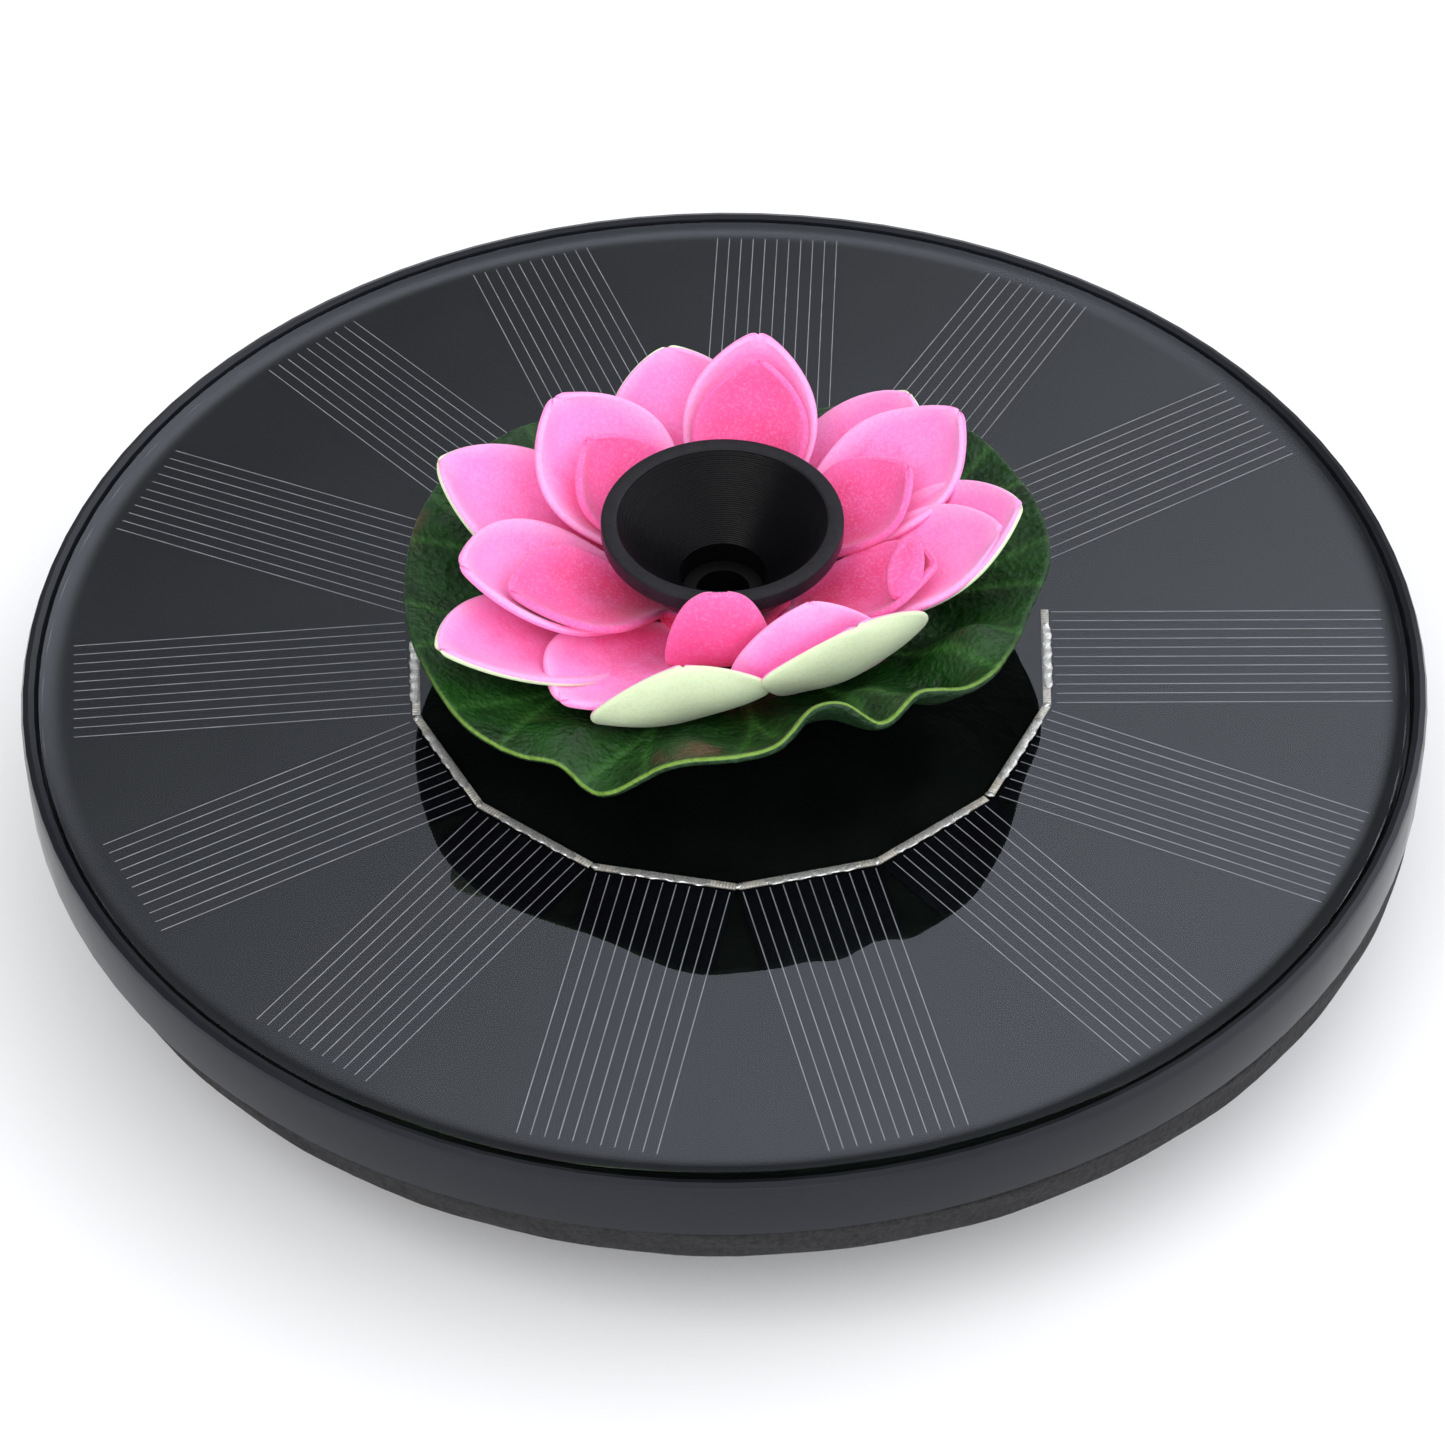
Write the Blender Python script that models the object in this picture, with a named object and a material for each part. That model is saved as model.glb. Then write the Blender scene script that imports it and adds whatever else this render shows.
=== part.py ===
"""Floating solar fountain: a round solar tray on a foam ring, with a small
magnet-drive pump and its strainer below and a foam lotus round the nozzle above.

Metres, +Z up. The origin is the middle of the strainer's base, which the object
stands on. The spout and every lift-off piece share the Z axis.
"""

from math import cos, hypot, pi, radians, sin, sqrt, tan

import bmesh
import bpy
from mathutils import Matrix

MM = 0.001

# Fits
GAP = 0.3 * MM  # between pieces that touch or plug together
RUN_GAP = 0.2 * MM  # between the sleeve and the shaft that it turns on
MAGNET_GAP = 0.3 * MM  # between the magnet and its well

# Float tray
RIM_RADIUS = 90 * MM
RIM_WALL = 2 * MM
RIM_ABOVE_CELLS = 1.8 * MM
TRAY_BELOW_CELLS = 7 * MM
TRAY_FLOOR = 1.6 * MM
LEDGE_WIDTH = 4 * MM
BOSS_WALL = 2.2 * MM

# Solar panel
CELL_COUNT = 14
CELL_PITCH = radians(25)
FIRST_CELL = radians(-2)
CELL_WIDTH = 18 * MM
CELL_SKIN = 0.3 * MM
RIBBON_WIDTH = 1 * MM
PANEL_MARGIN = 3.2 * MM  # from the cells' outer ends to the inside of the rim
PANEL_SHIFT = (0.9 * MM, 0.9 * MM)  # the cells are laid by hand, a little off centre
BOARD_THICKNESS = 1 * MM
COVER_THICKNESS = 0.5 * MM

# Foam ring
FOAM_THICKNESS = 4.7 * MM
FOAM_WIDTH = 30 * MM
FOAM_INSET = 1.5 * MM
FOAM_SHIFT = (1.0 * MM, -0.6 * MM)  # stuck on by hand

# Pump, whose rotor axis runs along X
POT_RADIUS = 8.8 * MM
POT_LENGTH = 18 * MM
POT_WALL = 0.9 * MM
WELL_WALL = 0.6 * MM
MAGNET_RADIUS = 3.4 * MM
MAGNET_LENGTH = 11.6 * MM
SHAFT_RADIUS = 0.75 * MM
SLEEVE_WALL = 0.9 * MM
CHAMBER_INNER = 7.4 * MM
BLADE_COUNT = 6
BLADE_THICKNESS = 0.9 * MM
INLET_RADIUS = 5 * MM
RING_SECTION = 0.8 * MM  # thickness of the sealing ring
CORE_LENGTH = 8 * MM
STRAP_THICKNESS = 1 * MM
STRAP_WIDTH = 5.6 * MM
SCREW_RADIUS = 1 * MM
SCREW_LENGTH = 3.4 * MM

# Spout, riser and nozzle
SPOUT_RADIUS = 5 * MM
SPOUT_BORE = 3.4 * MM
SPOUT_ABOVE_CELLS = 5.1 * MM
RISER_WALL = 1.5 * MM
FLANGE_ABOVE_CELLS = 7.2 * MM
FLANGE_RADIUS = 13 * MM
FLANGE_THICKNESS = 1.2 * MM
NECK_RADIUS = 5.2 * MM
NECK_HEIGHT = 5.3 * MM
CUP_RADIUS = 15.25 * MM
CUP_LIP = 2.1 * MM
CUP_WALL = 1.5 * MM
CUP_HEIGHT = 17 * MM
CUP_CONE = 9.3 * MM

# Lotus
LEAF_RADIUS = 41 * MM
LEAF_RISE = 9 * MM
LEAF_THICKNESS = 1 * MM
PETAL_COUNT = 7
PETAL_THICKNESS = 1.2 * MM

# Strainer
STRAINER_WALL = 1.4 * MM
STRAINER_FLOOR = 1.6 * MM
SLOT_COUNT = 30
SLOT_WIDTH = 2.2 * MM
SLOT_FOOT = 4 * MM  # height of the slots' lower ends
COLLAR_WALL = 1.5 * MM
COLLAR_DEPTH = 4.5 * MM

# Smoothness of the round pieces
RIM_STEPS = 96
LARGE_STEPS = 56
MIDDLE_STEPS = 32
SMALL_STEPS = 20

# Places worked out from the sizes above
MOUTH_RADIUS = CHAMBER_INNER + 0.6 * MM
MOUTH_DEPTH = 1.2 * MM
CHAMBER_OUTER = hypot(MOUTH_RADIUS + GAP, SPOUT_RADIUS)  # so the spout stands clear of the mouth
PUMP_Z = STRAINER_FLOOR + 1 * MM + max(POT_RADIUS + GAP + STRAP_THICKNESS, CHAMBER_OUTER + GAP)
FLOOR_Z = PUMP_Z + max(POT_RADIUS + 2.5 * MM, CHAMBER_OUTER + 1 * MM)
FLOOR_TOP = FLOOR_Z + TRAY_FLOOR
CELL_Z = FLOOR_Z + TRAY_BELOW_CELLS
COVER_TOP = CELL_Z + GAP + COVER_THICKNESS
RIM_TOP = CELL_Z + RIM_ABOVE_CELLS
BOARD_Z = CELL_Z - CELL_SKIN - GAP - BOARD_THICKNESS
LEDGE_Z = BOARD_Z - GAP
TRAY_INSIDE = RIM_RADIUS - RIM_WALL

CHAMBER_BACK = SPOUT_RADIUS + GAP
CHAMBER_FRONT = -CHAMBER_BACK
LIP_RADIUS = MOUTH_RADIUS - RING_SECTION - 2 * GAP
POT_START = CHAMBER_BACK + GAP
POT_END = POT_START + POT_LENGTH
POT_INNER = POT_RADIUS - POT_WALL
POT_FRONT_WALL = 1 * MM
WELL_RADIUS = MAGNET_RADIUS + MAGNET_GAP
WELL_OUTER = WELL_RADIUS + WELL_WALL
MAGNET_START = POT_START + POT_FRONT_WALL + GAP
MAGNET_END = MAGNET_START + MAGNET_LENGTH
BUSH_LENGTH = 1.4 * MM
WELL_END = MAGNET_END + BUSH_LENGTH + 2 * GAP
SLEEVE_BORE = SHAFT_RADIUS + RUN_GAP
SLEEVE_RADIUS = SLEEVE_BORE + SLEEVE_WALL
IMPELLER_RADIUS = CHAMBER_INNER - 0.7 * MM
CAP_THICKNESS = 0.9 * MM
DRIVER_THICKNESS = 0.8 * MM
CORE_MIDDLE = POT_START + POT_FRONT_WALL + 1.6 * MM + CORE_LENGTH / 2
STRAP_X = CORE_MIDDLE
LEAD_X = WELL_END - 0.4 * MM
LEAD_HOLE = 1.8 * MM

SCREW_Y = POT_RADIUS + GAP + STRAP_THICKNESS + 3.2 * MM
SCREW_HOLE = SCREW_RADIUS + GAP
BOSS_RADIUS = SCREW_HOLE + 1.3 * MM
BOSS_DEPTH = 4 * MM
EAR_TOP = FLOOR_Z - BOSS_DEPTH - GAP
EAR_THICKNESS = 1.2 * MM

COLLAR_INNER = hypot(POT_END, POT_RADIUS) + 1 * MM
COLLAR_OUTER = COLLAR_INNER + COLLAR_WALL
STRAINER_INNER = COLLAR_OUTER + GAP
STRAINER_OUTER = STRAINER_INNER + STRAINER_WALL
STRAINER_TOP = FLOOR_Z - GAP
SLOT_HEAD = FLOOR_Z - COLLAR_DEPTH - 2 * MM

SPOUT_TOP = CELL_Z + SPOUT_ABOVE_CELLS
SOCKET_RADIUS = SPOUT_RADIUS + GAP
FLANGE_TOP = CELL_Z + FLANGE_ABOVE_CELLS
NECK_TOP = FLANGE_TOP + NECK_HEIGHT
CUP_BOTTOM = FLANGE_TOP + GAP
CUP_BORE = NECK_RADIUS + GAP
CUP_SOCKET = CUP_BORE + CUP_WALL
CUP_TOP = CUP_BOTTOM + CUP_HEIGHT
HUB_RADIUS = CUP_SOCKET + GAP
CELL_INNER = (CELL_WIDTH / 2 + GAP / 2) / tan(CELL_PITCH / 2)
CELL_OUTER = TRAY_INSIDE - PANEL_MARGIN


def clear_scene():
    for obj in list(bpy.data.objects):
        bpy.data.objects.remove(obj, do_unlink=True)


def make_material(name, colour, roughness, metallic=0.0):
    material = bpy.data.materials.new(name)
    material.use_nodes = True
    shader = material.node_tree.nodes["Principled BSDF"]
    shader.inputs["Base Color"].default_value = (*colour, 1)
    shader.inputs["Roughness"].default_value = roughness
    shader.inputs["Metallic"].default_value = metallic
    return material


def add_object(name, bm, material, parent=None, smooth=True):
    """Turns a bmesh into a named object, in its parent's frame."""
    bmesh.ops.recalc_face_normals(bm, faces=bm.faces)
    mesh = bpy.data.meshes.new(name)
    bm.to_mesh(mesh)
    bm.free()
    if smooth:
        mesh.shade_smooth()
        mesh.set_sharp_from_angle(angle=radians(35))
    if material:
        mesh.materials.append(material)
    obj = bpy.data.objects.new(name, mesh)
    bpy.context.scene.collection.objects.link(obj)
    obj.parent = parent
    return obj


def add_empty(name, place):
    empty = bpy.data.objects.new(name, None)
    empty.location = place
    bpy.context.scene.collection.objects.link(empty)
    return empty


def turned_bmesh(profile, steps, along="Z"):
    """Spins (radius, distance along the axis) points. A profile that begins and ends
    on the axis makes a solid of revolution, and any other is closed into a ring."""
    bm = bmesh.new()
    points = [bm.verts.new((r, 0, h)) for r, h in profile]
    open_ends = profile[0][0] == 0 and profile[-1][0] == 0
    following = points[1:] if open_ends else points[1:] + points[:1]
    edges = [bm.edges.new(pair) for pair in zip(points, following)]
    bmesh.ops.spin(
        bm, geom=points + edges, axis=(0, 0, 1), cent=(0, 0, 0), angle=2 * pi, steps=steps,
        use_merge=True,
    )
    bmesh.ops.remove_doubles(bm, verts=bm.verts, dist=1e-7)
    if along == "X":
        bmesh.ops.rotate(bm, verts=bm.verts, cent=(0, 0, 0), matrix=Matrix.Rotation(pi / 2, 3, "Y"))
    return bm


def turned(name, profile, steps, material, along="Z", parent=None):
    return add_object(name, turned_bmesh(profile, steps, along), material, parent)


def box_bmesh(low, high):
    bm = bmesh.new()
    size = [b - a for a, b in zip(low, high)]
    middle = [(a + b) / 2 for a, b in zip(low, high)]
    bmesh.ops.create_cube(bm, size=1, matrix=Matrix.Translation(middle) @ Matrix.Diagonal((*size, 1)))
    return bm


def box(name, low, high, material, parent=None):
    return add_object(name, box_bmesh(low, high), material, parent, smooth=False)


def extruded_bmesh(outline, depth):
    """Extrudes a flat outline of (x, y, z) points by the vector depth."""
    bm = bmesh.new()
    face = bm.faces.new([bm.verts.new(p) for p in outline])
    grown = bmesh.ops.extrude_face_region(bm, geom=[face])
    moved = [item for item in grown["geom"] if isinstance(item, bmesh.types.BMVert)]
    bmesh.ops.translate(bm, verts=moved, vec=depth)
    return bm


def combine(obj, bm, operation):
    """Joins a helper solid to an object, or cuts it away."""
    helper = add_object(f"{obj.name}_helper", bm, None, obj.parent, smooth=False)
    helper.hide_render = True
    helper.display_type = "WIRE"
    modifier = obj.modifiers.new(operation.lower(), "BOOLEAN")
    modifier.operation = operation
    modifier.object = helper
    modifier.solver = "EXACT"


def rod_bmesh(place, radius, low, high, steps=SMALL_STEPS):
    """A solid upright cylinder."""
    bm = turned_bmesh([(0, high), (radius, high), (radius, low), (0, low)], steps)
    bmesh.ops.translate(bm, verts=bm.verts, vec=(*place, 0))
    return bm


# Float tray, panel and foam


def make_float_housing(material):
    corner = 0.6 * MM
    top_round = [
        (
            RIM_RADIUS - RIM_WALL / 2 + RIM_WALL / 2 * cos(turn),
            RIM_TOP - RIM_WALL / 2 + RIM_WALL / 2 * sin(turn),
        )
        for turn in (radians(45 * i) for i in range(5))
    ]
    seat = SOCKET_RADIUS + BOSS_WALL
    profile = [
        (SOCKET_RADIUS, FLOOR_Z),
        (COLLAR_INNER, FLOOR_Z),
        (COLLAR_INNER, FLOOR_Z - COLLAR_DEPTH),
        (COLLAR_OUTER, FLOOR_Z - COLLAR_DEPTH),
        (COLLAR_OUTER, FLOOR_Z),
        (RIM_RADIUS - corner, FLOOR_Z),
        (RIM_RADIUS, FLOOR_Z + corner),
        *top_round,
        (TRAY_INSIDE, LEDGE_Z),
        (TRAY_INSIDE - LEDGE_WIDTH, LEDGE_Z),
        (TRAY_INSIDE - LEDGE_WIDTH, FLOOR_TOP),
        (seat + BOSS_WALL, FLOOR_TOP),
        (seat + BOSS_WALL, LEDGE_Z),
        (seat, LEDGE_Z),
        (seat, FLOOR_TOP + 1 * MM),
        (SOCKET_RADIUS, FLOOR_TOP + 1 * MM),
    ]
    housing = turned("float_housing", profile, RIM_STEPS, material)
    overlap = 0.5 * MM
    rib_foot = PUMP_Z + POT_RADIUS * 0.45
    half_strap = STRAP_WIDTH / 2
    for rib_x in (STRAP_X - half_strap - 1.9 * MM, STRAP_X + half_strap + 0.5 * MM):
        low = (rib_x, -POT_RADIUS - 1 * MM, rib_foot)
        high = (rib_x + 1.4 * MM, POT_RADIUS + 1 * MM, FLOOR_Z + overlap)
        combine(housing, box_bmesh(low, high), "UNION")
    for side in (-1, 1):
        place = (STRAP_X, side * SCREW_Y)
        combine(housing, rod_bmesh(place, BOSS_RADIUS, FLOOR_Z - BOSS_DEPTH, FLOOR_Z + overlap), "UNION")
        hole_top = FLOOR_Z - BOSS_DEPTH + SCREW_LENGTH
        combine(housing, rod_bmesh(place, SCREW_HOLE, FLOOR_Z - BOSS_DEPTH - 1 * MM, hole_top), "DIFFERENCE")
    cradle = turned_bmesh(
        [(0, POT_START), (POT_RADIUS + GAP, POT_START), (POT_RADIUS + GAP, POT_END), (0, POT_END)],
        MIDDLE_STEPS, "X",
    )
    bmesh.ops.translate(cradle, verts=cradle.verts, vec=(0, 0, PUMP_Z))
    combine(housing, cradle, "DIFFERENCE")
    combine(
        housing, rod_bmesh((LEAD_X, 0), LEAD_HOLE, FLOOR_Z - 1 * MM, FLOOR_TOP + 1 * MM), "DIFFERENCE"
    )


def make_washer(name, inner, outer, low, high, material, steps=LARGE_STEPS, shift=(0, 0)):
    profile = [(inner, low), (outer, low), (outer, high), (inner, high)]
    piece = turned(name, profile, steps, material)
    piece.location = (*shift, 0)
    return piece


def make_panel(board, cell, ribbon, cover):
    spout_hole = SOCKET_RADIUS + GAP
    board_top = BOARD_Z + BOARD_THICKNESS
    make_washer("backing_board", spout_hole, TRAY_INSIDE - GAP, BOARD_Z, board_top, board)
    make_washer("epoxy_cover", spout_hole, TRAY_INSIDE - GAP, CELL_Z + GAP, COVER_TOP, cover)
    centre = add_empty("panel_centre", (*PANEL_SHIFT, 0))
    half = CELL_WIDTH / 2
    ribbon_end = half - GAP
    for index in range(CELL_COUNT):
        turn = FIRST_CELL - index * CELL_PITCH
        strips = (
            ("solar_cell", CELL_INNER + GAP, CELL_OUTER, half, cell),
            ("ribbon", CELL_INNER - RIBBON_WIDTH, CELL_INNER, ribbon_end, ribbon),
        )
        for kind, near, far, reach, material in strips:
            low = (near, -reach, CELL_Z - CELL_SKIN)
            high = (far, reach, CELL_Z)
            strip = box(f"{kind}_{index + 1:02d}", low, high, material, centre)
            strip.rotation_euler = (0, 0, turn)


def make_foam_ring(material):
    outer = RIM_RADIUS - FOAM_INSET
    top = FLOOR_Z - GAP
    inner = outer - FOAM_WIDTH
    make_washer("foam_float_ring", inner, outer, top - FOAM_THICKNESS, top, material, shift=FOAM_SHIFT)


# Pump


def make_motor(plastic, steel, copper, board, axis):
    profile = [
        (0, WELL_END + WELL_WALL),
        (WELL_OUTER, WELL_END + WELL_WALL),
        (WELL_OUTER, POT_START + POT_FRONT_WALL),
        (POT_INNER, POT_START + POT_FRONT_WALL),
        (POT_INNER, POT_END),
        (POT_RADIUS, POT_END),
        (POT_RADIUS, POT_START),
        (WELL_RADIUS, POT_START),
        (WELL_RADIUS, WELL_END),
        (0, WELL_END),
    ]
    pot = turned("motor_pot", profile, MIDDLE_STEPS, plastic, "X", axis)
    combine(pot, rod_bmesh((LEAD_X, 0), LEAD_HOLE, POT_INNER * 0.8, POT_RADIUS + 1 * MM), "DIFFERENCE")

    core_outer = POT_INNER - GAP
    core_inner = core_outer - 0.8 * MM
    low, high = CORE_MIDDLE - CORE_LENGTH / 2, CORE_MIDDLE + CORE_LENGTH / 2
    ring = [(core_inner, low), (core_outer, low), (core_outer, high), (core_inner, high)]
    core = turned("stator_core", ring, MIDDLE_STEPS, steel, "X", axis)
    pole_tip = WELL_OUTER + GAP
    pole_half = 1.5 * MM
    coil_depth = (core_inner - pole_tip) * 0.45
    coil_half = sqrt((core_inner - GAP) ** 2 - (pole_tip + GAP + coil_depth) ** 2)
    for side, label in ((1, "upper"), (-1, "lower")):
        near, far = side * pole_tip, side * (core_inner + 0.3 * MM)
        pole = box_bmesh((low, -pole_half, min(near, far)), (high, pole_half, max(near, far)))
        combine(core, pole, "UNION")
        wide = (coil_half, CORE_LENGTH / 2 + 1.5 * MM)
        narrow = (pole_half + GAP, CORE_LENGTH / 2 + GAP)
        start = side * (pole_tip + GAP / 2)
        end = start + side * coil_depth
        coil = box(
            f"stator_coil_{label}",
            (CORE_MIDDLE - wide[1], -wide[0], min(start, end)),
            (CORE_MIDDLE + wide[1], wide[0], max(start, end)),
            copper, axis,
        )
        combine(
            coil,
            box_bmesh(
                (CORE_MIDDLE - narrow[1], -narrow[0], min(start, end) - 1 * MM),
                (CORE_MIDDLE + narrow[1], narrow[0], max(start, end) + 1 * MM),
            ),
            "DIFFERENCE",
        )
    disc = core_outer
    cap_start = POT_END - CAP_THICKNESS
    board_start = cap_start - GAP - DRIVER_THICKNESS
    for name, start, thickness, material in (
        ("driver_board", board_start, DRIVER_THICKNESS, board),
        ("motor_end_cap", cap_start, CAP_THICKNESS, plastic),
    ):
        profile = [(0, start + thickness), (disc, start + thickness), (disc, start), (0, start)]
        turned(name, profile, MIDDLE_STEPS, material, "X", axis)


def make_pump_head(plastic, rubber, axis):
    mouth_end = CHAMBER_FRONT + MOUTH_DEPTH
    profile = [
        (CHAMBER_OUTER, CHAMBER_FRONT),
        (CHAMBER_OUTER, CHAMBER_BACK),
        (CHAMBER_INNER, CHAMBER_BACK),
        (CHAMBER_INNER, mouth_end),
        (MOUTH_RADIUS, mouth_end),
        (MOUTH_RADIUS, CHAMBER_FRONT),
    ]
    chamber = turned("pump_chamber", profile, MIDDLE_STEPS, plastic, "X", axis)
    spout_foot = MOUTH_RADIUS + GAP
    spout_top = SPOUT_TOP - PUMP_Z
    combine(chamber, rod_bmesh((0, 0), SPOUT_RADIUS, spout_foot, spout_top, MIDDLE_STEPS), "UNION")
    bore_foot = CHAMBER_INNER * 0.7
    combine(chamber, rod_bmesh((0, 0), SPOUT_BORE, bore_foot, spout_top + 1 * MM), "DIFFERENCE")

    cover_back = CHAMBER_FRONT - GAP
    cover_front = cover_back - 1.5 * MM
    lip_end = cover_back + MOUTH_DEPTH
    profile = [
        (INLET_RADIUS, cover_front),
        (CHAMBER_OUTER, cover_front),
        (CHAMBER_OUTER, cover_back),
        (LIP_RADIUS, cover_back),
        (LIP_RADIUS, lip_end),
        (LIP_RADIUS - 0.8 * MM, lip_end),
        (LIP_RADIUS - 0.8 * MM, cover_back),
        (INLET_RADIUS, cover_back),
    ]
    cover = turned("inlet_cover", profile, MIDDLE_STEPS, plastic, "X", axis)
    bush_inner = SHAFT_RADIUS + GAP
    bush_outer = bush_inner + 0.6 * MM
    hub_inner = bush_outer + GAP
    hub_outer = hub_inner + 0.7 * MM
    hub = [(hub_inner, cover_front), (hub_outer, cover_front), (hub_outer, cover_back), (hub_inner, cover_back)]
    combine(cover, turned_bmesh(hub, SMALL_STEPS, "X"), "UNION")
    inset = 0.2 * MM
    arm_half = 0.5 * MM
    for index in range(3):
        arm = box_bmesh(
            (cover_front + inset, -arm_half, hub_outer - inset),
            (cover_back - inset, arm_half, INLET_RADIUS + inset),
        )
        bmesh.ops.rotate(
            arm, verts=arm.verts, cent=(0, 0, 0), matrix=Matrix.Rotation(radians(120 * index + 60), 3, "X")
        )
        combine(cover, arm, "UNION")

    middle = (LIP_RADIUS + MOUTH_RADIUS) / 2
    half = RING_SECTION / 2
    ring_x = CHAMBER_FRONT + half + 0.2 * MM
    ring = [(middle + half * cos(turn), ring_x - half * sin(turn)) for turn in (pi / 4 * i for i in range(8))]
    turned("cover_seal_ring", ring, SMALL_STEPS, rubber, "X", axis)

    for name, outer, start, length in (
        ("front_bush", bush_outer, cover_front + inset, cover_back - cover_front - 2 * inset),
        ("rear_bush", WELL_RADIUS - GAP, MAGNET_END + GAP, BUSH_LENGTH),
    ):
        profile = [(bush_inner, start), (outer, start), (outer, start + length), (bush_inner, start + length)]
        turned(name, profile, SMALL_STEPS, rubber, "X", axis)
    return cover_front


def make_rotor(plastic, magnet, ceramic, cover_front, axis):
    turning = add_empty("rotor_axis", (0, 0, 0))
    turning.parent = axis
    plate_back = CHAMBER_BACK - 0.5 * MM
    plate_front = plate_back - 0.8 * MM
    blade_front = CHAMBER_FRONT + MOUTH_DEPTH + 1 * MM
    hub_radius = SLEEVE_RADIUS + 0.7 * MM
    profile = [
        (SLEEVE_BORE, blade_front),
        (hub_radius, blade_front),
        (hub_radius, plate_front),
        (IMPELLER_RADIUS, plate_front),
        (IMPELLER_RADIUS, plate_back),
        (SLEEVE_RADIUS, plate_back),
        (SLEEVE_RADIUS, MAGNET_END),
        (SLEEVE_BORE, MAGNET_END),
    ]
    impeller = turned("impeller", profile, SMALL_STEPS, plastic, "X", turning)
    overlap = 0.2 * MM
    for index in range(BLADE_COUNT):
        blade = box_bmesh(
            (blade_front + overlap, -BLADE_THICKNESS / 2, hub_radius - overlap),
            (plate_front + overlap, BLADE_THICKNESS / 2, IMPELLER_RADIUS - overlap),
        )
        turn = Matrix.Rotation(2 * pi * index / BLADE_COUNT, 3, "X")
        bmesh.ops.rotate(blade, verts=blade.verts, cent=(0, 0, 0), matrix=turn)
        combine(impeller, blade, "UNION")
    inner = SLEEVE_RADIUS + GAP
    profile = [
        (inner, MAGNET_START),
        (MAGNET_RADIUS, MAGNET_START),
        (MAGNET_RADIUS, MAGNET_END),
        (inner, MAGNET_END),
    ]
    turned("rotor_magnet", profile, SMALL_STEPS, magnet, "X", turning)
    shaft_start = cover_front + 0.3 * MM
    shaft_end = WELL_END - GAP
    profile = [(0, shaft_end), (SHAFT_RADIUS, shaft_end), (SHAFT_RADIUS, shaft_start), (0, shaft_start)]
    turned("rotor_shaft", profile, SMALL_STEPS, ceramic, "X", axis)


def make_strap(plastic, steel):
    """The strap that holds the motor under the tray, and its two screws."""
    inner = POT_RADIUS + GAP
    outer = inner + STRAP_THICKNESS
    ear_end = SCREW_Y + BOSS_RADIUS
    ear_foot = EAR_TOP - EAR_THICKNESS
    start = STRAP_X - STRAP_WIDTH / 2
    steps = 12
    sweep = [pi + pi * i / steps for i in range(steps + 1)]
    outline = [(-ear_end, EAR_TOP), (-ear_end, ear_foot), (-outer, ear_foot)]
    outline += [(outer * cos(turn), PUMP_Z + outer * sin(turn)) for turn in sweep]
    outline += [(outer, ear_foot), (ear_end, ear_foot), (ear_end, EAR_TOP), (inner, EAR_TOP)]
    outline += [(inner * cos(turn), PUMP_Z + inner * sin(turn)) for turn in reversed(sweep)]
    outline += [(-inner, EAR_TOP)]
    bm = extruded_bmesh([(start, y, z) for y, z in outline], (STRAP_WIDTH, 0, 0))
    strap = add_object("pump_strap", bm, plastic)
    head_top = ear_foot - GAP
    head_foot = head_top - 1.1 * MM
    head_radius = SCREW_RADIUS * 1.9
    tip = FLOOR_Z - BOSS_DEPTH + SCREW_LENGTH - GAP
    profile = [
        (0, tip),
        (SCREW_RADIUS * 0.5, tip),
        (SCREW_RADIUS, tip - 0.7 * MM),
        (SCREW_RADIUS, head_top),
        (head_radius, head_top),
        (head_radius * 0.75, head_foot),
        (0, head_foot),
    ]
    slot = (head_radius * 0.6, 0.25 * MM, 0.5 * MM)
    for number, side in ((1, -1), (2, 1)):
        place = (STRAP_X, side * SCREW_Y)
        combine(strap, rod_bmesh(place, SCREW_HOLE, ear_foot - 1 * MM, EAR_TOP + 1 * MM), "DIFFERENCE")
        screw = turned(f"strap_screw_{number}", profile, SMALL_STEPS, steel)
        screw.location = (*place, 0)
        cross = box_bmesh((-slot[0], -slot[1], head_foot - 1 * MM), (slot[0], slot[1], head_foot + slot[2]))
        arm = box_bmesh((-slot[1], -slot[0], head_foot - 1 * MM), (slot[1], slot[0], head_foot + slot[2]))
        for cutter in (cross, arm):
            bmesh.ops.translate(cutter, verts=cutter.verts, vec=screw.location)
            combine(screw, cutter, "DIFFERENCE")


def make_lead(material):
    """The panel's flat two-core lead, straight down into the motor."""
    core_radius = 0.55 * MM
    core_spacing = 0.6 * MM
    steps = 6
    outline = []
    for side, start in ((1, 0), (-1, pi)):
        for turn in (start + pi * i / steps for i in range(steps + 1)):
            place = (LEAD_X + core_radius * cos(turn), side * core_spacing + core_radius * sin(turn))
            outline.append(place)
    foot = PUMP_Z + WELL_OUTER + 0.6 * MM
    bm = extruded_bmesh([(x, y, foot) for x, y in outline], (0, 0, BOARD_Z - GAP - foot))
    add_object("panel_lead", bm, material)


def make_strainer(material):
    corner = 0.8 * MM
    profile = [
        (0, STRAINER_FLOOR),
        (STRAINER_INNER, STRAINER_FLOOR),
        (STRAINER_INNER, STRAINER_TOP),
        (STRAINER_OUTER, STRAINER_TOP),
        (STRAINER_OUTER, corner),
        (STRAINER_OUTER - corner, 0),
        (0, 0),
    ]
    strainer = turned("strainer_cover", profile, 2 * SLOT_COUNT, material)
    root, tip = STRAINER_INNER - 0.7 * MM, STRAINER_OUTER + 1.5 * MM
    outline = []
    for index in range(SLOT_COUNT):
        middle = 2 * pi * (index + 0.5) / SLOT_COUNT
        for radius, side in ((root, -1), (tip, -1), (tip, 1), (root, 1)):
            turn = middle + side * SLOT_WIDTH / 2 / radius
            outline.append((radius * cos(turn), radius * sin(turn), SLOT_FOOT))
    combine(strainer, extruded_bmesh(outline, (0, 0, SLOT_HEAD - SLOT_FOOT)), "DIFFERENCE")


# Riser, lotus and nozzle


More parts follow.
